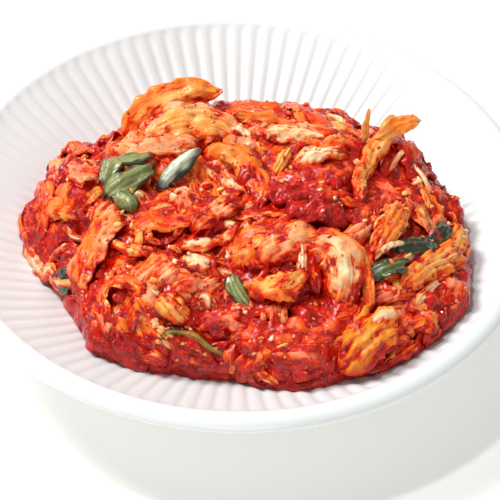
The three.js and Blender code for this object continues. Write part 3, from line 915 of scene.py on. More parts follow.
@dataclass(frozen=True)
class Leaf:
    """One piece of leaf, rib or shred laid over the mound.

    path holds plan points with the lift over the mound. width is its start, middle and end.
    roll turns the piece about its spine, in degrees, at both ends. arch is the angle of its
    cross-section's arc. ruffle and waves are the height and number of its edge waves, ribs and
    rib_depth its lengthwise ridges, crumple the depth of its random folds, tuck how far its
    two ends dip into the heap, and border where its edge tone begins.
    """

    path: tuple[tuple[float, float, float], ...]
    width: tuple[float, float, float]
    thick: float
    tone: Tone = Tone.RED
    edge: Tone | None = None
    sauce: float = 0.5
    roll: tuple[float, float] = (0.0, 0.0)
    arch: float = 50.0
    ruffle: float = 0.6
    waves: float = 2.0
    ribs: float = 3.0
    rib_depth: float = 0.2
    crumple: float = 0.8
    fineness: tuple[int, int] = (40, 18)
    tuck: float = 1.5
    border: float = 0.45

    # Of the shape: power of the ends' bluntness, lag between the waves of the two edges,
    # strength and pace of the waves' overtone, reach and size of the tears at the ends, how far
    # the edges thin down, least half thickness, and how far apart pieces read their noise.
    BLUNTNESS: ClassVar[int] = 6
    EDGE_LAG: ClassVar[float] = 1.7
    OVERTONE: ClassVar[tuple[float, float]] = (0.45, 2.3)
    TEARS: ClassVar[tuple[float, float]] = (0.9, 1.1)
    THINNING: ClassVar[float] = 0.72
    LEAST_HALF: ClassVar[float] = 0.14
    APART: ClassVar[float] = 300.0
    FIBRES_APART: ClassVar[float] = 200.0
    # Of the dress: part of the border at the ends, shades of the tint and how much they vary,
    # how much lighter the ribs' crests and darker their grooves are painted, as light and shade,
    # sauce at the ends, at thick and at thin edges, the thickness that tells these apart, and the
    # sauce beneath.
    END_BORDER: ClassVar[float] = 0.9
    SHADES: ClassVar[tuple[float, float]] = (0.93, 0.12)
    RIB_PAINTED_SHADE: ClassVar[float] = 0.08
    DROWNED: ClassVar[float] = 0.45
    THICK_EDGE: ClassVar[float] = 0.2
    THIN_EDGE: ClassVar[float] = -0.06
    THICK: ClassVar[float] = 1.7
    BENEATH: ClassVar[float] = 0.15
    # Layers of noise, each with its depth, its size and its seed.
    OUTLINE: ClassVar[Layers] = ((0.13, 12, 12), (0.1, 4.5, 13))
    FOLDS: ClassVar[Layers] = ((0.8, 10, 3), (0.45, 4.6, 4))
    LUMPS: ClassVar[Layers] = ((0.2, 2.1, 6),)
    BORDER: ClassVar[Layers] = ((0.14, 5, 8),)
    DRIFT: ClassVar[Layers] = ((0.5, 12, 9),)
    BLOTS: ClassVar[Layers] = ((0.2, 9, 10), (0.12, 3.6, 11))

    def half_width(self, u: Array) -> Array:
        """Half the width along the piece: half of it straight, half on a smooth arc.

        Args:
            u: places along the piece, from 0 to 1.

        Returns:
            Half the width at each place.
        """
        start, middle, end = self.width
        arc = start * (1 - u) * (1 - 2 * u) + 4 * middle * u * (1 - u) + end * u * (2 * u - 1)
        straight = np.interp(u, [0, 0.5, 1], [start, middle, end])
        return 0.25 * (arc + straight)

    def clearing(self) -> Array:
        """The ground that the piece covers.

        Returns:
            Plan points along it, each with the radius covered there.
        """
        u = np.linspace(0.1, 0.9, 7)
        plan = through(np.array(self.path, float), u)
        return np.column_stack([plan[:, :2], 0.55 * self.half_width(u)])

    def patch(self, mound: Mound, seed: int) -> Patch:
        """Works out the piece's closed surface.

        Across the spine lies an arc, to which ribs, edge waves and random folds add their
        height along the spine's outward direction. The thickness thins towards the edges and
        the blunt ends, and the ends are torn.

        Args:
            mound: the form that it lies on.
            seed: seed of its random folds.

        Returns:
            The patch.
        """
        rng = np.random.default_rng(seed)
        rows, columns = self.fineness
        u, v = np.meshgrid(np.linspace(0, 1, rows), np.linspace(-1, 1, columns), indexing="ij")
        spine, along, side, out = self._spine(mound, u[:, 0])
        length = np.linalg.norm(np.diff(spine, axis=0), axis=-1).sum()
        blunt = np.maximum(1 - np.abs(2 * u - 1) ** self.BLUNTNESS, 0.02) ** 0.5
        rim = np.stack([u * length, 40 * np.sign(v), 0 * v], -1)
        rim = rim + rng.uniform(-self.APART, self.APART, 3)
        half = self.half_width(u) * blunt * (1 + rough(rim, self.OUTLINE))
        shift, crown = self._arc(half, v)
        wave_angle = TAU * self.waves * u + rng.uniform(0, TAU) + (v > 0) * self.EDGE_LAG
        strength, pace = self.OVERTONE
        wave = np.sin(wave_angle) + strength * np.sin(pace * wave_angle)
        ridge = np.cos(np.pi * self.ribs * v + 0.6 * np.sin(3 * u))
        crown = crown + self.ruffle * np.abs(v) ** 1.5 * wave
        crown = crown + self.rib_depth * ridge * (1 - v ** 4)
        reach, size = self.TEARS
        torn = Waves(size, seed + 5)(np.stack([v, 0 * v, 0 * v], -1))
        pull = reach * (2 * u - 1) ** 5 * torn
        middle = spine + shift[..., None] * side + crown[..., None] * out + pull[..., None] * along
        own = middle + rng.uniform(-self.APART, self.APART, 3)
        middle = middle + (self.crumple * rough(own, self.FOLDS))[..., None] * out
        thin = (1 - self.THINNING * np.abs(v) ** 2.5) * lerp(0.35, 1.0, blunt)
        thickness = np.maximum(0.5 * self.thick * thin, self.LEAST_HALF)
        lumps = rough(own, self.LUMPS) * min(self.thick, 2.5) / 2
        upper = middle + (thickness + lumps)[..., None] * out
        lower = middle - thickness[..., None] * out
        points = np.concatenate([upper.reshape(-1, 3), lower.reshape(-1, 3)])
        points = mound.lifted(mound.gathered(points) if self.tuck > 1 else points)
        tint, sauce = self._dress(u, v, own, ridge)
        fibre = np.stack([u * length, v * half], -1).reshape(-1, 2)
        fibre = fibre + rng.uniform(-self.FIBRES_APART, self.FIBRES_APART, 2)
        return Patch(
            points, slab_faces(rows, columns)[:, ::-1], np.tile(tint.reshape(-1, 3), (2, 1)),
            np.concatenate([sauce.ravel(), sauce.ravel() + self.BENEATH]),
            np.tile(fibre, (2, 1)),
        )

    def _spine(self, mound: Mound, u: Array) -> tuple[Array, Array, Array, Array]:
        """The piece's middle line over the mound, with its directions.

        Its ends dip by tuck, with the cube of the distance from its middle. The roll turns the
        directions about it.

        Args:
            mound: the form that it lies on.
            u: places along the piece, from 0 to 1.

        Returns:
            Its points and the unit vectors along it, to its side and outwards, one a row, with
            room for the places across.
        """
        plan = through(np.array(self.path, float), u)
        lift = plan[:, 2] - self.tuck * np.abs(2 * u - 1) ** 3
        spine = np.column_stack([plan[:, :2], mound.height(plan[:, 0], plan[:, 1]) + lift])
        along = unit(np.gradient(spine, axis=0))
        side = unit(np.cross(along, mound.normal(plan[:, 0], plan[:, 1])))
        out = np.cross(side, along)
        turn = np.radians(lerp(self.roll[0], self.roll[1], u))[:, None]
        rolled_side = np.cos(turn) * side + np.sin(turn) * out
        rolled_out = np.cos(turn) * out - np.sin(turn) * side
        return tuple(part[:, None] for part in (spine, along, rolled_side, rolled_out))

    def _arc(self, half: Array, v: Array) -> tuple[Array, Array]:
        """The cross-section's arc, with its ends at the height of the spine.

        Args:
            half: half the width.
            v: places across the piece, from -1 to 1.

        Returns:
            How far each point lies to the side, and how far outwards.
        """
        arc = np.radians(self.arch) / 2
        if not arc:
            return half * v, 0 * v
        bend = half / np.sin(min(abs(arc), np.pi / 2) + 1e-6)
        return bend * np.sin(v * abs(arc)), np.sign(arc) * bend * (np.cos(v * arc) - np.cos(arc))

    def _dress(self, u: Array, v: Array, own: Array, ridge: Array) -> tuple[Array, Array]:
        """Tint and sauce over the piece: the edge tone takes over near its edges.

        Args:
            u: places along the piece.
            v: places across it.
            own: points at which its noise is read.
            ridge: height of its ribs.

        Returns:
            The tint and the sauce of each point.
        """
        tone = np.array(self.tone.value)
        edge = np.array((self.edge or self.tone).value)
        outward = np.maximum(np.abs(v), self.END_BORDER * np.abs(2 * u - 1))
        near = smoothstep(outward + rough(own, self.BORDER), self.border, 0.9)[..., None]
        least, more = self.SHADES
        tint = lerp(tone, edge, near) * (least + more * (0.5 + rough(own, self.DRIFT))[..., None])
        # painted light and shade: the tint is lighter on the ribs' crests and darker in the grooves
        # between them
        rib_light_and_shade = 1 + self.RIB_PAINTED_SHADE * np.sign(self.rib_depth) * ridge[..., None]
        tint = np.clip(tint * rib_light_and_shade, 0, 1)
        drowned = self.DROWNED * min(self.tuck / 1.5, 1) * np.abs(2 * u - 1) ** 2.5
        margin = (self.THICK_EDGE if self.thick > self.THICK else self.THIN_EDGE) * near[..., 0]
        return tint, self.sauce + drowned + margin + rough(own, self.BLOTS)


# ------------------------------------------------------------------ the pieces


def hero_leaves() -> list[Leaf]:
    """The pieces that stand out, from the back of the heap round to its front.

    Returns:
        The leaves, in the order of their seeds.
    """
    t = Tone
    standing = [
        Leaf(((-33, 22, 0), (-27, 26, 4), (-17, 29, 6.6), (-6, 31, 9)), (11, 14, 3.6), 1.3,
             t.YELLOW, t.ORANGE, 0.44, (-80, -80), 20, 0.5, 2, 2, 0.2, 0.7, tuck=0, border=0.2),
        Leaf(((42, 12, 8), (46, 15, 9), (50, 17, 12), (54, 18.5, 16)), (6, 6.4, 3), 1.5, t.ORANGE,
             t.YELLOW, 0.34, (-50, -50), 30, 0.3, crumple=0.5, tuck=0),
        Leaf(((38, 14, 3), (38, 16, 8), (39, 18.5, 13.5)), (2.4, 2.2, 1.2), 1.1, t.YELLOW, None,
             0.15, (0, 0), 10, 0.1, crumple=0.2, tuck=0),
    ]
    back = [
        Leaf(((-28, 10, 2.4), (-22, 14, 3.8), (-14, 16, 4.4), (-6, 16, 4), (0, 14, 2.4)),
             (10, 13, 8), 1.8, t.YELLOW, t.PEACH, 0.34, (-34, -32), 40, 0.5, 3, 4, 0.2, 0.7),
        Leaf(((-38, 13, 2.6), (-30, 8, 3.2), (-21, 8, 3.8), (-11, 9, 3.4)), (7, 9, 7), 2.0,
             t.PEACH, t.ORANGE, 0.34, (-16, -16), 40, 0.5, crumple=0.6),
        Leaf(((-6, 21, 2.4), (3, 22, 2.6), (12, 21, 2.0), (19, 17, 1.5)), (3.5, 4.5, 3.5), 2.2,
             t.ORANGE, t.YELLOW, 0.25, (-25, -25), 40, 0.4, 3),
        Leaf(((-2, 19, 3.1), (0, 16, 3.4), (2, 13, 3.1)), (4, 5, 4), 2.0, t.CREAM, sauce=0.15),
        Leaf(((15, 8, 3.7), (13, 3, 4), (11, -1, 3.1)), (2.5, 3.5, 2.5), 2.2, t.YELLOW, None, 0.2,
             (20, 20), 60, 0.2),
        Leaf(((6, 14, 2.8), (18, 14, 3.0), (33, 14, 2.6)), (5.4, 7, 6), 2.4, t.CREAM, t.PEACH,
             0.28, (-16, -16), 50, 0.3, 2, 2, 0.15, 0.4),
        Leaf(((14, 19, 1.8), (24, 19, 1.8), (34, 18, 1.6)), (4, 5, 4), 2.4, t.PEACH, t.CREAM, 0.2,
             (-16, -16), 50, 0.5, 4, 2, 0.2, 0.7),
        Leaf(((16, 1, 3.4), (23, 5, 4.4), (33, 8, 4.0)), (5.4, 7, 5), 2.4, t.CREAM, t.ORANGE, 0.28,
             (-10, -10), 60, 0.3, 2, 2, 0.15, 0.4),
        Leaf(((18, 9, 3.1), (26, 11, 3.4), (34, 11, 3.1)), (4, 5, 4), 2.0, t.ORANGE, t.YELLOW, 0.3,
             (-10, -10), 50, 0.4),
        Leaf(((-45, 20, -1.5), (-38, 23, -2.5), (-28, 26, -2)), (8, 11, 8), 2.4, edge=t.ORANGE),
        Leaf(((-31, 18, 1), (-28, 27, 0.5), (-26, 36, 0)), (8, 10, 8), 2.4, t.PEACH, t.YELLOW,
             0.45),
        Leaf(((-20, 32, 0.5), (-12, 36, 0.5), (-2, 38, 0)), (9, 13, 9), 2.4, edge=t.ORANGE),
        Leaf(((-8, 27, 1), (-3, 33, 0.5), (2, 40, 0)), (9, 12, 9), 2.4, t.DEEP, t.RED, 0.7),
        Leaf(((4, 27, 0), (15, 27, -0.5), (26, 25, -1)), (9, 13, 9), 2.6, t.ORANGE, t.CREAM, 0.45,
             rib_depth=0.3),
        Leaf(((8, 34, -1), (19, 34, -1), (30, 32, -1)), (8, 12, 8), 2.4, t.RED, t.PINK, 0.6),
        Leaf(((26, 19, 0), (31, 25, -1), (35, 31, -1)), (9, 13, 9), 2.4, edge=t.YELLOW),
        Leaf(((36, 28, -0.5), (43, 24, -0.5), (49, 18, -0.5)), (9, 13, 8), 2.4, t.PEACH, t.CREAM,
             0.4),
        Leaf(((-55, 17, 0), (-51, 23, 0), (-45, 28, 0)), (8, 11, 7), 2.2, edge=t.ORANGE),
        Leaf(((46, 22, -1), (53, 14, -1), (58, 5, -0.5)), (8, 11, 8), 2.2, t.DEEP, t.ORANGE, 0.6),
    ]
    left = [
        Leaf(((-54, 26, 1.0), (-48, 17, 1.8), (-41, 7, 1.6)), (8, 10, 7), 2.0, t.RED, t.ORANGE,
             0.6, (20, 20), 60, 1.0),
        Leaf(((-57, 24, 1.2), (-60, 15, 1.4), (-64, 5, 1.0)), (7, 8, 6), 2.0, t.RED, t.ORANGE, 0.6,
             (0, 0), 60, 1.0),
        Leaf(((-56, 24, 2.8), (-54, 11, 3.6), (-54, -2, 3.0)), (3.4, 5, 3.6), 1.8, t.PEACH,
             t.ORANGE, 0.34, (0, 0), 40, 0.5),
        Leaf(((-61, 12, 2.2), (-58, 2, 2.9), (-56, -7, 2.4)), (4, 6, 5), 1.8, t.PINK, t.PEACH,
             0.45, (0, 0), 50, 0.7, 3),
        Leaf(((-51, 4, 2.9), (-45, -3, 3.6), (-40, -4, 3.0)), (6, 8, 6), 2.0, t.PINK, t.PEACH,
             0.48, (0, 0), 50, 1.0, 3),
        Leaf(((-58, -7, 2.4), (-51, -10, 3.4), (-44, -13, 3.0)), (6, 8, 6), 2.0, t.ORANGE,
             t.YELLOW, 0.4, (0, 10), 50, 1.0),
        Leaf(((-63, 4, 1.6), (-66, 2, 1.9), (-65, -8, 1.5)), (4, 5, 4), 1.6, t.YELLOW, t.ORANGE,
             0.25),
        Leaf(((-65, -4, 2.0), (-61, -14, 2.2), (-55, -24, 2.2), (-46, -34, 2.0)), (4, 5.5, 4), 1.2,
             t.CREAM, t.YELLOW, 0.25, (-16, -16), 30, 0.7, 4, 1, 0.1, tuck=0.5),
        Leaf(((-59, -7, 1.6), (-54, -18, 1.4), (-46, -30, 1.6)), (10, 14, 7), 1.6, t.DEEP, t.RED,
             0.75, (0, 0), -40, 0.8, crumple=0.5),
        Leaf(((-56, -21, 2.1), (-52, -20, 2.3), (-47, -18, 2.1)), (1.6, 2.2, 1.6), 1.0, t.PINK,
             t.PEACH, 0.3, (0, 0), 30, 0.1, crumple=0.2),
        Leaf(((-52, -12, 3.0), (-49, -16, 3.2), (-43, -20, 3.4), (-38, -20, 3.8), (-33, -17, 3.8)),
             (2.0, 2.2, 2.2), 1.3, t.CREAM, t.CREAM, 0.15, (0, 0), 30, 0.3, crumple=0.4),
        Leaf(((-34, -15, 3.4), (-40, -22, 3.8), (-44.5, -30, 3.2), (-45, -39, 1.8)), (10, 14, 10),
             1.8, t.ORANGE, t.PEACH, 0.3, (0, -10), 55, 0.8, 2, 4, 0.3, 0.6, (48, 24), border=0.3),
        Leaf(((-43, -36, 1.2), (-43, -42, 1.4), (-41, -48, 0.8)), (9, 11, 7), 2.0, t.PINK, t.PEACH,
             ruffle=0.8),
        Leaf(((-37, -52, 1.4), (-37, -45, 2.7), (-32, -43, 3.3), (-25, -47, 2.7)), (6, 8, 4), 1.8,
             t.RED, t.YELLOW, 0.5, (30, 30), 60, crumple=0.5),
        Leaf(((-38, -25, 2.8), (-31, -31, 2.8), (-24, -35, 2.2)), (3, 4.4, 3), 2.0, t.YELLOW,
             t.ORANGE, 0.38, ruffle=0.3),
    ]
    centre = [
        Leaf(((-22, -47, 2.5), (-19, -50, 2.5), (-13, -52, 1.9)), (6, 8, 6), 2.6, t.YELLOW,
             t.ORANGE, 0.36, (0, 0), 60, 0.4),
        Leaf(((-13, -26, 3.1), (-7, -20, 3.7), (1, -13, 3.1)), (6, 7.5, 6), 2.6, t.PEACH, t.PINK,
             0.4, (10, 10), 50, 0.5, 2, 3, 0.25),
        Leaf(((-17, -32, 2.5), (-11, -32, 3.1), (-4, -27, 3.1), (1, -23, 2.5)), (3.5, 4.5, 3), 2.3,
             t.CREAM, t.ORANGE, 0.34, (20, 20), 50, 0.3),
        Leaf(((-16, -11, 3.1), (-16, -16, 3.1), (-14, -21, 2.5)), (4, 5, 4), 2.0, t.PINK, t.PEACH,
             0.35, ruffle=0.3),
        Leaf(((-10, 4, 3.1), (-5, 6, 4.3), (2, 2, 4.3), (7, -8, 3.7), (6, -16, 2.5)), (6, 9, 6),
             2.8, t.ORANGE, t.YELLOW, 0.35, (10, 10), 70, ribs=2),
        Leaf(((2, 6, 3.6), (3, 0, 4.4), (2, -6, 3.6)), (6, 7, 5), 3.4, t.DEEP, None, 0.9, (0, 0),
             80, 0.1, crumple=0.5),
        Leaf(((-16, -38, 2.5), (-12, -38, 2.8), (-6, -37, 2.5)), (4.5, 5.5, 4), 2.4, t.CREAM,
             t.ORANGE, 0.4, (0, 0), 60, 0.1),
        Leaf(((-18, -46, 2.5), (-14, -44, 2.5), (-9, -42, 2.5)), (4.5, 5.5, 4), 2.8, t.PINK,
             t.PEACH, 0.4, (0, 0), 60, 0.1),
        Leaf(((-1, -37, 2.5), (3, -36, 3.1), (6, -39, 2.5)), (6, 7, 5), 3.6, t.ORANGE, None, 0.4,
             (0, 0), 80, 0.3),
        Leaf(((8, -7, 2.4), (14, -11, 3.0), (20, -17, 2.4)), (8, 11, 8), 3.0, t.DEEP, t.RED, 0.8,
             (0, 0), 60, 1.0, crumple=1.2),
        Leaf(((18, -9, 2.2), (25, -12, 2.8), (33, -12, 2.2)), (7, 10, 7), 2.6, t.RED, t.ORANGE,
             0.7, (0, 0), 60, 1.0, crumple=1.2),
        Leaf(((13, -21, 2.4), (22, -21, 3.0), (32, -23, 2.4)), (7, 10, 7), 2.6, t.DEEP, t.RED, 0.8,
             (0, 0), 60, 1.0, crumple=1.2),
        Leaf(((18, -4, 2.5), (27, -4, 3.1), (35, -5, 2.5)), (10, 12, 9), 3.0, t.RED, t.ORANGE, 0.7,
             (0, 0), 60, 1.0, crumple=1.1),
    ]
    curled = [
        Leaf(((21, -34, 4.6), (28, -37, 5.4), (31, -43, 5.0), (29, -50, 3.4)), (10, 13.5, 11), 2.4,
             t.CREAM, t.ORANGE, 0.24, (-6, -12), 90, 0.3, 2, 3, 0.15, 0.6, (56, 26), border=0.1),
        Leaf(((22, -33, 4.4), (30, -34, 5.0), (36, -39, 4.8), (38, -45, 3.8), (37, -50, 3.0),
              (33, -55, 2.4), (27, -58, 1.8)), (3, 5, 4), 1.8, t.ORANGE, t.YELLOW, 0.4, (-24, -24),
             50, 0.4, 5, 1, 0.1, 0.4, (64, 12)),
        Leaf(((15, -51, 3.0), (24, -53.5, 3.4), (31, -52, 3.4), (37, -47, 3.0)), (8, 11, 8), 2.2,
             t.RED, t.ORANGE, 0.7, (0, 0), 50, 0.5, 3, 2, 0.2, 0.6, (56, 24)),
        Leaf(((37.5, -47, 4.2), (37, -51.5, 4.2), (34, -56.5, 4.0), (29.5, -59.5, 3.8),
              (23, -61.5, 3.2)), (2.4, 3.4, 2), 1.5, t.GOLD, t.ORANGE, 0.26, (-10, -10), 60, 0.4,
             4, 3, 0.2, 0.4, (48, 10)),
        Leaf(((8, -55, 2.2), (18, -58, 2.6), (28, -56, 2.6), (34, -51, 2.2)), (8, 11, 8), 2.2,
             t.RED, t.PEACH, 0.5, (0, 0), 60, 0.8, 3, crumple=0.7),
        Leaf(((22, -35, 4.4), (22, -41, 4.0), (23, -47, 3.4)), (3.5, 4.5, 4), 1.8, t.ORANGE, t.RED,
             0.6, (0, 0), 40, 0.2, crumple=0.3),
        Leaf(((6, -39, 3.8), (11, -36.5, 5.0), (17, -34.5, 5.6), (24, -33, 5.4)), (7, 10, 8), 2.2,
             t.PEACH, t.ORANGE, 0.42, (-10, -10), 70, 0.5, 3, 3, 0.2, 0.7, (52, 24), border=0.2),
        Leaf(((18, -34, 5.6), (19, -39, 5.6), (19, -43.5, 4.8)), (3, 3.6, 3), 2.0, t.CREAM,
             t.PEACH, 0.22, (0, 0), 60, 0.2, crumple=0.3),
        Leaf(((12, -38, 3.8), (14, -41, 3.6), (15, -44, 3.4)), (6, 7, 6), 1.8, t.RED, t.RED, 0.85,
             (0, 0), -30, 0.2, crumple=0.3),
        Leaf(((3, -45, 3.6), (9, -47.5, 5.0), (15, -46.5, 5.4), (20, -42, 5.2)), (6.5, 9.5, 6),
             2.2, t.YELLOW, t.ORANGE, 0.38, (14, 14), 100, 0.9, 5, 3, 0.25, 0.7, (56, 26),
             border=0.2),
        Leaf(((8, -51, 3.4), (8, -56, 2.8)), (1.8, 2.2, 1.8), 1.4, t.PEACH, t.PINK, 0.3, (0, 0),
             60, 0.1, crumple=0.2),
        Leaf(((10.5, -50, 3.6), (11, -56, 3.0)), (1.8, 2.2, 1.8), 1.4, t.PINK, t.PEACH, 0.3,
             (0, 0), 60, 0.1, crumple=0.2),
        Leaf(((14, -51, 3.6), (14, -56.5, 3.0)), (1.8, 2.2, 1.8), 1.4, t.PEACH, t.PINK, 0.3,
             (0, 0), 60, 0.1, crumple=0.2),
        Leaf(((8, -60, 2.0), (19, -62, 2.4), (29, -60, 2.4), (36, -54, 2.0)), (7, 10, 7), 2.2,
             t.PINK, t.RED, 0.6, (0, 0), 60, 0.8, 3, crumple=1.0),
    ]
    front = [
        Leaf(((-21, -55, 1.4), (-13, -57, 1.9), (-4, -60, 0.8)), (8, 11, 7), 2.6, t.RED, t.YELLOW,
             0.6, arch=60),
        Leaf(((-21.5, -57, 3.6), (-19.5, -56, 4.6), (-15, -55.5, 4.8), (-8.5, -58, 4.4),
              (-2.5, -60, 3.6), (3, -63, 2.8), (8, -67.5, 1.8)), (1.6, 2.2, 1.4), 1.5, t.OLIVE,
             t.DARK_GREEN, 0.1, (0, 0), 90, 0.1, crumple=0.2, tuck=0.8, border=0.5),
        Leaf(((5, -56, 3.2), (5.5, -58.5, 3.4), (6, -61, 2.8)), (2, 3, 2.2), 1.6, t.CREAM,
             t.YELLOW, 0.15, crumple=0.6),
        Leaf(((11, -61, 3.0), (13, -62, 3.4), (15.5, -61, 3.0)), (2, 3.2, 2), 1.6, t.YELLOW,
             t.GOLD, 0.15, crumple=0.6),
        Leaf(((19, -67, 2.2), (21, -65, 2.8), (23, -62.5, 2.6)), (2.4, 4, 2.6), 1.6, t.CREAM,
             t.ORANGE, 0.2, crumple=0.7),
        Leaf(((-23, -54, 3.2), (-18, -57.2, 3.8), (-12, -57, 3.2)), (2.4, 4, 2.4), 1.6, t.YELLOW,
             t.CREAM, 0.2, (-20, -20), crumple=0.5),
        Leaf(((-28, -58, 2.2), (-24, -59.5, 2.8), (-20, -59.5, 2.2)), (3, 4, 3), 1.8, t.PEACH,
             t.CREAM, 0.15, crumple=0.5),
        Leaf(((-24, -52, 2.8), (-22.5, -54, 3.2)), (2, 2.8, 2), 1.6, t.CREAM, t.YELLOW, 0.1,
             crumple=0.4),
        Leaf(((-2, -51.5, 3.2), (1, -50.5, 3.8), (5, -50.5, 3.2)), (3, 4.4, 3), 1.6, t.CREAM,
             t.PINK, 0.3),
        Leaf(((7, -65, 2.0), (9, -66.5, 2.2), (12, -67.5, 1.8)), (2, 3, 2), 1.5, t.YELLOW, t.CREAM,
             0.2, crumple=0.5),
        Leaf(((-10, -54, 1.9), (-2, -52, 2.5), (6, -55, 1.9)), (8, 10, 7), 2.6, t.PINK, t.RED,
             0.55, arch=60),
        Leaf(((6, -60, 1.2), (14, -60, 1.9), (24, -61, 1.2)), (8, 11, 8), 2.6, t.RED, t.PEACH, 0.6,
             arch=60),
        Leaf(((10, -63, 0.6), (19, -65, 0.9), (27, -64, 0.6)), (8, 11, 8), 2.6, t.RED, t.PINK,
             0.55, arch=60),
        Leaf(((29, -66, 2.4), (35, -62.5, 4.2), (40, -58.5, 4.6), (45, -54, 3.8)), (8, 13, 9), 2.6,
             t.GOLD, t.ORANGE, 0.24, (6, 6), 80, 0.4, 2, 4, 0.5, 0.5, (56, 30), tuck=0.6),
        Leaf(((38, -57.5, 6.4), (42, -54.5, 6.6), (46, -52.5, 5.2)), (3, 5.6, 4), 1.6, t.CREAM,
             t.GOLD, 0.15, (6, 6), 70, 0.3, 3, 2, 0.2, 0.5, border=0.3),
        Leaf(((43, -63, 0.6), (49, -59, 0.9), (53, -55, 0.9)), (3.5, 5, 3.5), 1.6, t.ORANGE,
             t.CREAM, 0.3, (0, 0), 30, 0.3, 3),
    ]
    right = [
        Leaf(((64, 0, 2.8), (67, -8, 3.2), (66, -18, 3.6), (61, -28, 3.8), (54, -36, 3.8),
              (47, -45, 3.0)), (7, 9, 7), 1.6, t.YELLOW, t.ORANGE, 0.38, (10, 10), 40, 1.2, 8, 4,
             0.25, 0.7, (72, 18)),
        Leaf(((59, -36, 2.2), (55, -42, 2.5), (51, -48, 2.2)), (3, 3.8, 3), 1.4, t.CREAM, t.PEACH,
             0.25, (20, 20), 40, 0.5, 4, crumple=0.4),
        Leaf(((66, -26, 1.4), (64, -39, 1.4), (58, -49, 1.1)), (9, 12, 8), 2.4, t.PINK, t.PEACH,
             arch=60),
        Leaf(((57, -45, 2.2), (56, -50, 2.4), (55, -55, 2.0)), (3.4, 4.4, 3.4), 1.8, t.YELLOW,
             sauce=0.3, crumple=0.3),
        Leaf(((49, -9, 3.4), (45, -21, 4.2), (40, -34, 3.4)), (6, 8.5, 7), 1.6, t.ORANGE, t.YELLOW,
             0.32, (10, 10), 50, 0.9, 4, 4, 0.35, 0.6),
        Leaf(((51, -27, 4.0), (45, -31, 4.2), (40, -36, 3.6)), (1.6, 1.8, 1.6), 1.2, t.CREAM,
             t.CREAM, 0.0, (0, 0), 30, 0.3, 5, crumple=0.2),
        Leaf(((51, 24, 3.9), (43, 12, 5.4), (39, 6, 5.4), (36, -5, 4.7), (36, -13, 3.3)),
             (5, 6.6, 3.4), 2.0, t.YELLOW, t.ORANGE, 0.3, (25, 25), 50, 0.4, 3, crumple=0.6),
        Leaf(((50, 23, 1.5), (52, 14, 2.2), (54, 5, 1.8)), (8, 11, 9), 2.0, t.RED, t.ORANGE, 0.55,
             arch=60, crumple=0.6),
        Leaf(((45, 5, 3.6), (48, 9, 4.2), (50, 12, 3.8)), (1.4, 1.6, 1.4), 1.1, t.CREAM, t.PEACH,
             0.05, (0, 0), 30, 0.2, crumple=0.2),
        Leaf(((50, 12, 4.0), (54, 7, 3.8), (58, 1, 3.2)), (1.4, 1.6, 1.4), 1.1, t.PEACH, t.CREAM,
             0.1, (0, 0), 30, 0.2, crumple=0.2),
        Leaf(((46, 2, 2.2), (50, -4, 2.4), (53, -9, 2.2)), (8, 10, 8), 1.8, t.DEEP, t.RED, 0.8,
             (0, 0), -20, 0.4, crumple=0.6),
    ]
    return standing + back + left + centre + curled + front + right


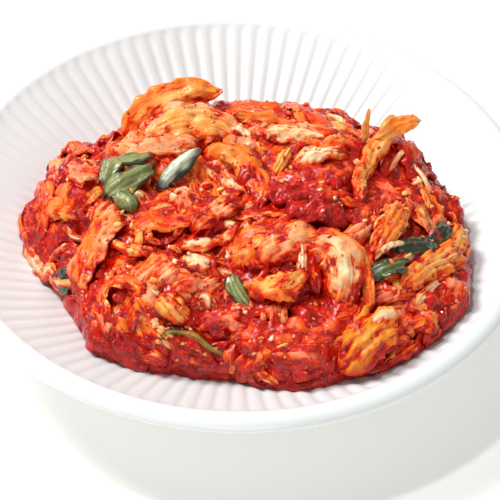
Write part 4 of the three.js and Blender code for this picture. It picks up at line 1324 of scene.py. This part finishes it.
@dataclass(frozen=True)
class Sort:
    """A sort of filling piece, with the ranges that its sizes are drawn from.

    inner is the least share of the heap's reach at which a piece lies. roll and bend are drawn
    from their negative to their positive value.
    """

    count: int
    length: tuple[float, float]
    width: tuple[float, float]
    thick: tuple[float, float]
    lift: tuple[float, float]
    tones: tuple[tuple[Tone, Tone], ...]
    sauce: tuple[float, float]
    arch: tuple[float, float] = (30, 90)
    ruffle: tuple[float, float] = (0.3, 1.1)
    roll: float = 22.0
    bend: float = 4.0
    ribs: float = 3.0
    rib_depth: float = 0.25
    crumple: float = 1.1
    fineness: tuple[int, int] = (28, 13)
    inner: float = 0.0

    # Outermost share of the reach, widest swing off the heap's edge, share of the outer pieces
    # that lie along it, how much shorter and lower pieces are there, how far in a piece stays
    # for each millimetre of its width, and the places along a path.
    OUTERMOST: ClassVar[float] = 0.97
    SWING: ClassVar[float] = 0.7
    SKIRTING: ClassVar[float] = 0.65
    SHORTER: ClassVar[float] = 0.3
    LOWER: ClassVar[float] = 0.4
    INSET: ClassVar[float] = 0.003
    PLACES: ClassVar[tuple[float, ...]] = (-0.5, -0.2, 0.2, 0.5)

    def leaves(self, mound: Mound, kept_clear: Array, seed: int) -> list[Leaf]:
        """Spreads the pieces over the mound by the golden angle.

        Towards the rim most of them lie along the heap's edge, and the others any way round.

        Args:
            mound: the form that they lie on.
            kept_clear: plan points that the middle of a piece keeps away from, with how far.
            seed: seed of the draws.

        Returns:
            One leaf for each piece.
        """
        rng = np.random.default_rng(seed)
        found = []
        for i in range(self.count):
            angle = (i + rng.random()) * GOLDEN_ANGLE
            spread = ((i + rng.random()) / self.count) ** 0.5
            share = float(lerp(self.inner, self.OUTERMOST, spread))
            spot = np.array(mound.plan(np.array(angle), share))
            around = angle + np.pi / 2 + rng.uniform(-self.SWING, self.SWING)
            skirting = share > 0.5 and rng.random() < self.SKIRTING
            heading = around if skirting else rng.uniform(0, TAU)
            length = rng.uniform(*self.length) * (1 - self.SHORTER * share ** 4)
            bend = rng.uniform(-self.bend, self.bend)
            lift = rng.uniform(*self.lift) * (1 - self.LOWER * share ** 4)
            broad = rng.uniform(*self.width)
            if (np.linalg.norm(kept_clear[:, :2] - spot, axis=1) < kept_clear[:, 2]).any():
                continue
            tone, edge = self.tones[rng.integers(len(self.tones))]
            found.append(Leaf(
                self._path(mound, spot, heading, (length, bend, lift)),
                (broad * rng.uniform(0.6, 1), broad, broad * rng.uniform(0.5, 0.9)),
                rng.uniform(*self.thick), tone, edge, rng.uniform(*self.sauce),
                tuple(rng.uniform(-self.roll, self.roll, 2)), rng.uniform(*self.arch),
                rng.uniform(*self.ruffle), rng.uniform(1.5, 3.5), self.ribs, self.rib_depth,
                self.crumple, self.fineness,
            ))
        return found

    def _path(self, mound: Mound, spot: Array, heading: float,
              sizes: tuple[float, float, float]) -> tuple[tuple[float, ...], ...]:
        """A bent path through a spot, pushed in where it passes the heap's edge.

        Args:
            mound: the form that it lies on.
            spot: the path's middle in plan, but for its bend.
            heading: its direction from +X towards +Y.
            sizes: its length, its bend and the lift over the mound.

        Returns:
            Plan points with their lift.
        """
        length, bend, lift = sizes
        t = np.array(self.PLACES)[:, None]
        along = np.array([np.cos(heading), np.sin(heading)])
        across = np.array([-along[1], along[0]])
        plan = spot + t * length * along + (1 - 4 * t * t) * bend * across
        edge_share = 1 - self.INSET * self.width[0]
        over = np.maximum(mound.share(plan[:, 0], plan[:, 1]) / edge_share, 1)[:, None]
        plan = mound.centre + (plan - mound.centre) / over
        return tuple(map(tuple, np.hstack([plan, lift * (1.2 - 1.5 * np.abs(t))]).tolist()))


@dataclass
class Relief:
    """The heap's top as a plan map, which tells hollows from ridges.

    The map holds the highest point in each cell, blurred by a Gaussian through its Fourier
    transform. Each wet area has its place, its radius and the sauce that it adds.
    """

    points: Array
    cell: float = 1.0
    half: float = 96.0
    spread: float = 4.0
    # painted shade: how much each millimetre of depth darkens the tint, channel by channel; ridges
    # are painted lighter the same way
    painted_shade: Colour = (0.03, 0.08, 0.09)
    wet_areas: tuple[tuple[float, float, float, float], ...] = (
        (-22, -25, 17, 0.08), (24, -14, 16, 0.16), (46, -24, 10, 0.14), (-50, 3, 14, 0.03),
        (-50, -18, 10, 0.2), (-18, 14, 13, -0.16), (26, 14, 15, -0.14), (-10, -12, 10, 0.06),
    )
    blurred: Array = field(init=False)

    def __post_init__(self) -> None:
        """Fills the map and blurs it; a cell without points takes no part."""
        count = int(2 * self.half / self.cell)
        top = np.full((count, count), -1.0)
        np.maximum.at(top, self._cells(self.points), self.points[:, 2])
        known = (top >= 0).astype(float)
        wave = np.fft.fftfreq(count, self.cell) * TAU * self.spread
        kernel = np.exp(-0.5 * (wave[:, None] ** 2 + wave[None, :] ** 2))
        total, weight = (
            np.real(np.fft.ifft2(np.fft.fft2(part) * kernel)) for part in (top * known, known)
        )
        self.blurred = total / np.maximum(weight, 0.02)

    def _cells(self, points: Array) -> tuple[Array, Array]:
        """Cell of each point.

        Args:
            points: the points.

        Returns:
            Row and column of each one's cell; a point off the map has the nearest cell.
        """
        last = int(2 * self.half / self.cell) - 1
        place = ((points[:, :2] + self.half) / self.cell).astype(int)
        return tuple(np.clip(place, 0, last).T)

    def pool(self, patch: Patch, wet: float = 0.1) -> None:
        """Gives hollows more sauce and ridges less, by millimetre of depth, and paints shade into
        the tint: darker and redder in hollows, lighter on ridges.

        Args:
            patch: the patch, changed in place.
            wet: the sauce that a millimetre of depth adds.
        """
        depth = self.blurred[self._cells(patch.points)] - patch.points[:, 2]
        patch.sauce = patch.sauce + wet * np.clip(depth, -3, 4)
        # painted shade: the tint darkens and reddens in hollows and lightens on ridges
        painted_shade = 1 - np.clip(depth, -1.5, 4)[:, None] * np.array(self.painted_shade)
        patch.tint = np.clip(patch.tint * painted_shade, 0, 1)
        for x, y, radius, amount in self.wet_areas:
            away = ((patch.points[:, 0] - x) ** 2 + (patch.points[:, 1] - y) ** 2) / radius ** 2
            patch.sauce = patch.sauce + amount * np.exp(-away)


@dataclass
class Heap:
    """The kimchi: a saucy body under leaves, ribs and shreds."""

    mound: Mound
    finish: SauceFinish
    slot: str = "kimchi"
    node: str = "kimchi_heap"
    rings: int = 80
    spokes: int = 260
    sorts: dict[str, Sort] = field(default_factory=lambda: {
        "cabbage_leaves": Sort(
            140, (18, 38), (10, 17), (0.9, 1.5), (0.0, 1.6),
            ((Tone.RED, Tone.ORANGE), (Tone.ORANGE, Tone.RED), (Tone.PINK, Tone.ORANGE),
             (Tone.ORANGE, Tone.YELLOW), (Tone.PEACH, Tone.ORANGE)), (0.35, 0.75),
            arch=(-25, 75), crumple=0.8),
        "cabbage_ribs": Sort(
            44, (12, 24), (5, 9), (1.8, 2.6), (0.0, 1.4),
            ((Tone.PEACH, Tone.ORANGE), (Tone.PINK, Tone.PEACH), (Tone.CREAM, Tone.ORANGE),
             (Tone.ORANGE, Tone.YELLOW)), (0.3, 0.6),
            ruffle=(0.1, 0.5), ribs=3, rib_depth=0.3, crumple=0.5),
        "radish_shreds": Sort(
            80, (12, 28), (1.8, 3.0), (1.2, 1.8), (0.6, 2.4),
            ((Tone.YELLOW, Tone.YELLOW), (Tone.ORANGE, Tone.ORANGE), (Tone.CREAM, Tone.CREAM),
             (Tone.RED, Tone.RED), (Tone.PEACH, Tone.PEACH)), (0.35, 0.75),
            ruffle=(0.0, 0.2), bend=7, crumple=0.5, fineness=(24, 7)),
        "chopped_bits": Sort(
            190, (3.5, 8), (2.2, 4.2), (1.0, 1.7), (1.2, 2.6),
            ((Tone.CREAM, Tone.YELLOW), (Tone.YELLOW, Tone.ORANGE), (Tone.PEACH, Tone.PINK),
             (Tone.CREAM, Tone.PEACH)), (0.15, 0.5), ruffle=(0.1, 0.4), ribs=2, crumple=0.7,
            fineness=(12, 8)),
        "rim_pieces": Sort(
            90, (12, 24), (6, 11), (1.4, 2.4), (0.8, 2.2),
            ((Tone.RED, Tone.ORANGE), (Tone.ORANGE, Tone.PEACH), (Tone.ORANGE, Tone.RED),
             (Tone.PINK, Tone.PEACH)), (0.35, 0.75), inner=0.86),
    })

    LUMPS: ClassVar[Layers] = ((0.9, 9, 31), (0.55, 4.2, 32), (0.25, 2, 33))
    SUNK: ClassVar[float] = 1.0
    SAUCE: ClassVar[float] = 0.7
    LARGE_SEED: ClassVar[int] = 100
    SORT_SEED: ClassVar[int] = 900
    PIECE_SEED: ClassVar[int] = 3000

    def core(self) -> Patch:
        """The closed body under the pieces, with lumps of sauce in three sizes.

        Its top is rings from the centre outwards, and its underside the same rings back again
        on the dish. The lumps fade out at its edge.

        Returns:
            The patch.
        """
        share = np.linspace(0, 1, self.rings + 1)[1:] ** 0.8
        angle = np.arange(self.spokes) / self.spokes * TAU
        x, y = self.mound.plan(angle, share[:, None])
        flat = np.stack([x, y, self.mound.height(x, y)], -1)
        fade = np.clip((1 - share) * 40, 0, 1)[:, None]
        relief = fade * (rough(flat, self.LUMPS) - self.SUNK)
        top = self.mound.lifted(flat + relief[..., None] * self.mound.normal(x, y, 2.0))
        under = np.stack([x, y, self.mound.dish.height(np.hypot(x, y)) + 0.1], -1)
        tips = [[*self.mound.centre, part[0, :, 2].mean()] for part in (top, under)]
        points = np.vstack([top.reshape(-1, 3), under[::-1].reshape(-1, 3), tips])
        size = len(points)
        return Patch(points, ring_faces(2 * self.rings, self.spokes),
                     np.tile(np.array(Tone.RED.value), (size, 1)), np.full(size, self.SAUCE),
                     points[:, :2].copy())

    def build(self, greens: list[Leaf]) -> list[bpy.types.Object]:
        """Builds the core, the pieces that stand out and the filling ones, one mesh a kind.

        Args:
            greens: the green pieces, which the filling ones keep clear of too.

        Returns:
            The objects.
        """
        material = self.finish.material()
        large = hero_leaves()
        patches = {"kimchi_core": self.core()}
        heroes = [leaf.patch(self.mound, self.LARGE_SEED + i) for i, leaf in enumerate(large)]
        thick = np.array([leaf.thick >= 2.0 for leaf in large])
        for name, chosen in (("large_leaves", ~thick), ("large_ribs", thick)):
            patches[name] = Patch.join([heroes[i] for i in np.flatnonzero(chosen)])
        clear = np.vstack([leaf.clearing() for leaf in large + greens])
        for k, (name, sort) in enumerate(self.sorts.items()):
            leaves = sort.leaves(self.mound, clear, self.SORT_SEED + k)
            first = self.PIECE_SEED + 500 * k
            patches[name] = Patch.join([
                leaf.patch(self.mound, first + i) for i, leaf in enumerate(leaves)
            ])
        relief = Relief(np.vstack([patch.points for patch in patches.values()]))
        for patch in patches.values():
            relief.pool(patch)
        return [patch.build(name, material) for name, patch in patches.items()]


@dataclass
class Greens:
    """The pieces of leaf greens and scallion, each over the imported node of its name."""

    mound: Mound
    finish: LeafFinish
    slot: str = "greens"

    SEED: ClassVar[int] = 7000

    def leaves(self) -> dict[str, list[Leaf]]:
        """Lists the leaves.

        Returns:
            Those of each node, by the node's name.
        """
        t = Tone
        return {
            # The pale green pieces' dark green edges are partly the greens' own darker rims, partly
            # painted shade along their outlines.
            "green_leaf": [
                Leaf(((-39, -9, 4.2), (-37, -3, 5.2), (-32, 0, 6.0), (-26, 3, 5.4)), (6, 8, 6),
                     0.9, t.PALE_GREEN, t.DARK_GREEN, 0.3, (12, 12), 60, 0.5, 2, 2, 0.5, 0.5,
                     (52, 26), tuck=0.5, border=0.7),
                Leaf(((-39, -12, 3.6), (-35, -10, 4.4), (-29, -6, 5.0), (-25, -1, 4.4)),
                     (5, 7.4, 5), 0.9, t.PALE_GREEN, t.DARK_GREEN, 0.3, (-8, -8), 60, 0.5, 2, 2,
                     0.5, 0.5, (52, 26), tuck=0.5, border=0.7),
            ],
            "green_leaf_tail": [
                Leaf(((-36, -13, 3.6), (-33, -15, 3.9), (-31, -18, 3.4)), (4.4, 6, 3.4), 0.9,
                     t.PALE_GREEN, t.GREEN, 0.25, (0, 0), 60, 0.4, 2, 1, 0.3, 0.4, (30, 14),
                     tuck=0.5),
            ],
            "scallion_glossy": [
                # near-white middle: partly pale inner skin, partly a painted highlight; the dark
                # green edges are partly painted shade
                Leaf(((-24, -9, 3.0), (-20, -5, 4.8), (-15, 0, 6.4), (-11, 4, 6.6)), (4, 6, 3.4),
                     1.1, t.WHITE_GREEN_GLARE, t.DARK_GREEN, 0.05, (0, 0), 90, 0.2, 2, 1, 0.3, 0.3,
                     (44, 20), tuck=0.6, border=0.3),
            ],
            "scallion_front": [
                Leaf(((-1, -41, 4.2), (0, -45, 4.6), (4, -50, 3.4)), (3.6, 5.4, 3.6), 1.1,
                     t.PALE_GREEN, t.DARK_GREEN, 0.2, (0, 0), 80, 0.2, 1, 2, 0.3, 0.3, (36, 16),
                     tuck=0.6, border=0.6),
            ],
            "green_right_upper": [
                Leaf(((62, -10, 3.4), (61, -16, 3.9), (57, -22, 3.4)), (3.6, 5.4, 3.6), 0.9,
                     t.DARK_GREEN, t.GREEN, 0.2, ruffle=0.3, crumple=0.5, border=0.7),
            ],
            "green_right_middle": [
                Leaf(((59, -22, 3.6), (53, -27, 4.1), (46, -31, 3.6)), (4.4, 6.4, 3.6), 0.9,
                     t.DARK_GREEN, t.GREEN, 0.2, ruffle=0.4, crumple=0.5, border=0.7),
            ],
            "green_right_lower": [
                Leaf(((50, -35, 3.5), (44, -40, 4.0), (38, -42, 3.4)), (4.4, 6.4, 4.4), 0.9,
                     t.GREEN, t.DARK_GREEN, 0.25, ruffle=0.5, crumple=0.7, border=0.25),
            ],
            "green_left": [
                Leaf(((-53, -25, 2.9), (-51, -29, 3.3), (-47, -27, 2.9)), (5, 7, 4), 0.9,
                     t.DARK_GREEN, t.GREEN, 0.1, ruffle=0.4, crumple=0.5, border=0.7),
            ],
        }

    def build(self) -> dict[str, bpy.types.Object]:
        """Builds one object for each node.

        Returns:
            The objects, by the node's name.
        """
        material = self.finish.material()
        return {
            node: Patch.join([
                leaf.patch(self.mound, self.SEED + 10 * i + k) for k, leaf in enumerate(leaves)
            ]).build("leaf_of_" + node, material)
            for i, (node, leaves) in enumerate(self.leaves().items())
        }


@dataclass(frozen=True)
class Bits:
    """Small things of one kind strewn over the heap.

    flatness holds the sizes along, across and upwards as shares of the size drawn. sunk is the
    share of its height by which a bit lies in the surface, and uneven the unevenness of it.
    """

    name: str
    count: int
    size: tuple[float, float]
    flatness: tuple[float, float, float]
    tones: tuple[Colour, ...]
    sunk: float = 0.2
    uneven: float = 0.25
    on_greens: bool = True

    OUTERMOST: ClassVar[float] = 0.98

    def patch(self, mound: Mound, hosts: list[bpy.types.Object], seed: int) -> Patch:
        """Lays the bits on what shows of the heap.

        Each bit is a rounded body of a few dozen faces, turned at random about the surface's
        normal.

        Args:
            mound: gives the places and directions of the casts.
            hosts: the objects that the bits lie on.
            seed: seed of the draws.

        Returns:
            One patch of all the bits.
        """
        rng = np.random.default_rng(seed)
        places, normals = self._ground(mound, hosts, rng)
        size = rng.uniform(*self.size, size=(self.count, 1)) / 2
        side = unit(np.cross(normals, rng.normal(size=(self.count, 3))))
        axes = np.stack([side, np.cross(normals, side), normals], 1)
        ball, faces = self.ball()
        spread = np.array(self.flatness) * rng.uniform(0.8, 1.2, size=(self.count, 3)) * size
        own = ball[None] * (1 + self.uneven * rng.uniform(-1, 1, size=(self.count, len(ball), 1)))
        middle = places + normals * (spread[:, 2:] * (1 - 2 * self.sunk))
        points = middle[:, None] + np.einsum("npk,nkc->npc", own * spread[:, None, :], axes)
        numbers = faces[None] + (np.arange(self.count) * len(ball))[:, None, None]
        numbers = np.where(faces[None] < 0, -1, numbers).reshape(-1, 4)
        tones = np.array(self.tones)[rng.integers(len(self.tones), size=self.count)]
        tint = np.repeat(tones, len(ball), axis=0)
        flat = points.reshape(-1, 3)
        return Patch(mound.lifted(flat), numbers, tint, np.zeros(len(flat)), flat[:, :2].copy())

    def _ground(self, mound: Mound, hosts: list[bpy.types.Object],
                rng: np.random.Generator) -> tuple[Array, Array]:
        """Casts a line for each bit on the pieces, from outside along the mound's inward normal.

        Args:
            mound: gives the places and directions of the casts.
            hosts: the objects that the bits lie on.
            rng: the source of the draws.

        Returns:
            The places and the surface's normals there.
        """
        angle = rng.uniform(0, TAU, self.count)
        x, y = mound.plan(angle, self.OUTERMOST * rng.random(self.count) ** 0.5)
        inward = -mound.normal(x, y)
        start = np.stack([x, y, mound.height(x, y)], -1) - CAST * inward
        return cast(hosts, start, inward)

    @staticmethod
    def ball(sides: int = 8, rows: int = 4) -> tuple[Array, Array]:
        """A coarse ball of radius 1, with its poles along Z.

        Args:
            sides: number of points in a ring.
            rows: number of rings between the poles.

        Returns:
            Its points and its faces.
        """
        fall = np.pi * np.arange(1, rows + 1)[:, None] / (rows + 1)
        around = TAU * np.arange(sides) / sides
        x, y = np.sin(fall) * np.cos(around), np.sin(fall) * np.sin(around)
        rings = np.stack([x, y, np.cos(fall) + 0 * x], -1)
        points = np.vstack([rings.reshape(-1, 3), [[0, 0, 1], [0, 0, -1]]])
        return points, ring_faces(rows, sides)


def cast(hosts: list[bpy.types.Object], start: Array, heading: Array) -> tuple[Array, Array]:
    """Where lines first meet any of the hosts.

    Args:
        hosts: the objects.
        start: starting points in millimetres.
        heading: unit directions.

    Returns:
        The meeting points, in millimetres, and the surface's normals there. A line that misses
        gives its starting point moved by CAST along it, and its own reverse.
    """
    bpy.context.view_layer.update()
    places, normals = start + CAST * heading, -heading.copy()
    nearest = np.full(len(start), 2 * CAST)
    for host in hosts:
        for i, (origin, direction) in enumerate(zip(start, heading)):
            hit, place, normal, _ = host.ray_cast(Vector(origin * MM), Vector(direction))
            away = (place / MM - Vector(origin)).length if hit else np.inf
            if away < nearest[i]:
                nearest[i], places[i], normals[i] = away, place / MM, normal
    return places, normals


@dataclass
class Strewn:
    """Seeds, garlic and chilli flakes over the heap."""

    mound: Mound
    kinds: tuple[Bits, ...] = (
        Bits("chilli_seeds", 36, (1.8, 2.5), (1.0, 0.62, 0.3),
             (linear(252, 214, 130), linear(250, 190, 80), linear(244, 150, 50)), 0.15, 0.08),
        Bits("garlic_bits", 76, (0.9, 2.0), (1.0, 0.75, 0.6),
             (linear(252, 222, 170), linear(250, 180, 110), linear(240, 120, 70))),
        Bits("chilli_flakes", 1000, (0.6, 1.6), (1.0, 0.6, 0.3),
             (linear(214, 40, 20), linear(190, 20, 14), linear(230, 70, 26),
              linear(240, 110, 46), linear(248, 166, 96)), 0.25, 0.3, False),
    )

    SEED: ClassVar[int] = 60

    def build(self, heap: list[bpy.types.Object],
              greens: list[bpy.types.Object]) -> list[bpy.types.Object]:
        """Builds one mesh of each kind, on the heap alone or on its greens too.

        Args:
            heap: the pieces of the heap.
            greens: the green leaves.

        Returns:
            The objects.
        """
        material = BitFinish("wet_bits").material()
        built = []
        for i, kind in enumerate(self.kinds):
            hosts = heap + greens if kind.on_greens else heap
            patch = kind.patch(self.mound, hosts, self.SEED + i)
            built.append(patch.build(kind.name, material))
        return built


# ------------------------------------------------------------------ the studio


@dataclass(frozen=True)
class Lamp:
    """A square lamp aimed at the dish, with its place and size in millimetres."""

    name: str
    place: tuple[float, float, float]
    size: float
    power: float

    def build(self) -> None:
        """Adds the lamp to the scene, as part of the stage."""
        data = bpy.data.lights.new(self.name, "AREA")
        data.size, data.energy = self.size * MM, self.power
        lamp = bpy.data.objects.new(self.name, data)
        lamp.location = Vector(self.place) * MM
        lamp.rotation_mode = "QUATERNION"
        lamp.rotation_quaternion = (-Vector(self.place)).to_track_quat("-Z", "Y")
        bpy.context.scene.collection.objects.link(lamp)
        lamp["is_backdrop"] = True


@dataclass
class Studio:
    """Pale table, soft window light and the camera. Lengths are millimetres."""

    camera_place: tuple[float, float, float] = (0.0, -615.2, 621.7)
    aim: tuple[float, float, float] = (3.94, -19.78, 33.4)
    roll_degrees: float = 1.33
    lens: float = 203.7
    sensor: float = 36.0
    clip_metres: tuple[float, float] = (0.05, 20.0)
    world: float = 0.39
    world_colour: Colour = (1.0, 0.99, 0.975)
    table_size: float = 4000.0
    lamps: tuple[Lamp, ...] = (
        Lamp("window", (-900.0, 500.0, 1300.0), 520.0, 23.0),
        Lamp("fill", (100.0, -1500.0, 600.0), 700.0, 5.0),
        Lamp("spark", (-350.0, 100.0, 1300.0), 90.0, 5.0),
    )

    def camera(self) -> None:
        """Sets the camera by its place, its aim, its roll about the view and its lens."""
        data = bpy.data.cameras.new("camera")
        data.sensor_width = self.sensor
        data.lens = self.lens
        data.clip_start, data.clip_end = self.clip_metres
        camera = bpy.data.objects.new("camera", data)
        place, aim = Vector(self.camera_place) * MM, Vector(self.aim) * MM
        turn = (aim - place).to_track_quat("-Z", "Y").to_matrix().to_4x4()
        roll = Matrix.Rotation(np.radians(self.roll_degrees), 4, "Z")
        camera.matrix_world = Matrix.Translation(place) @ turn @ roll
        bpy.context.scene.collection.objects.link(camera)
        bpy.context.scene.camera = camera

    def build(self) -> None:
        """Builds the table, the lamps, the surroundings' light and the camera."""
        square = np.array([(-1, -1, 0), (1, -1, 0), (1, 1, 0), (-1, 1, 0)])
        table = Patch.plain(square * self.table_size / 2, np.array([[0, 1, 2, 3]]))
        table.build("table", TableFinish("table").material())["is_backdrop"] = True
        for lamp in self.lamps:
            lamp.build()
        world = bpy.data.worlds.new("room")
        world.use_nodes = True
        background = world.node_tree.nodes["Background"]
        background.inputs["Color"].default_value = (*self.world_colour, 1.0)
        background.inputs["Strength"].default_value = self.world
        bpy.context.scene.world = world
        bpy.context.scene.view_settings.view_transform = "Standard"
        self.camera()


# ------------------------------------------------------------------ the whole


def mount(piece: bpy.types.Object, node: str, slot: str) -> None:
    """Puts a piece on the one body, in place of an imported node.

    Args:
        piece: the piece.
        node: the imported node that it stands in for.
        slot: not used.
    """
    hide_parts(node)
    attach(piece, "root")
    log.info("%s: %d faces", piece.name, len(piece.data.polygons))


def main() -> None:
    """Builds the dish, the heap, its greens and bits, and the studio."""
    logging.basicConfig(level=logging.INFO, format="%(message)s")
    dish = Dish()
    mound = Mound(dish)
    mount(dish.build(GlazeFinish("white_glaze")), "dish", "dish_glaze")
    heap = Heap(mound, SauceFinish("kimchi_sauce"))
    greens = Greens(mound, LeafFinish("wet_green"))
    pieces = heap.build(sum(greens.leaves().values(), []))
    for piece in pieces:
        mount(piece, heap.node, heap.slot)
    leaves = greens.build()
    for node, piece in leaves.items():
        mount(piece, node, greens.slot)
    for piece in Strewn(mound).build(pieces, list(leaves.values())):
        mount(piece, heap.node, heap.slot)
    Studio().build()
    boxes = {"cad": CAD_BOX, "scene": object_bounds()}
    lists = {name: [list(corner) for corner in box] for name, box in boxes.items()}


if __name__ == "__main__":
    main()
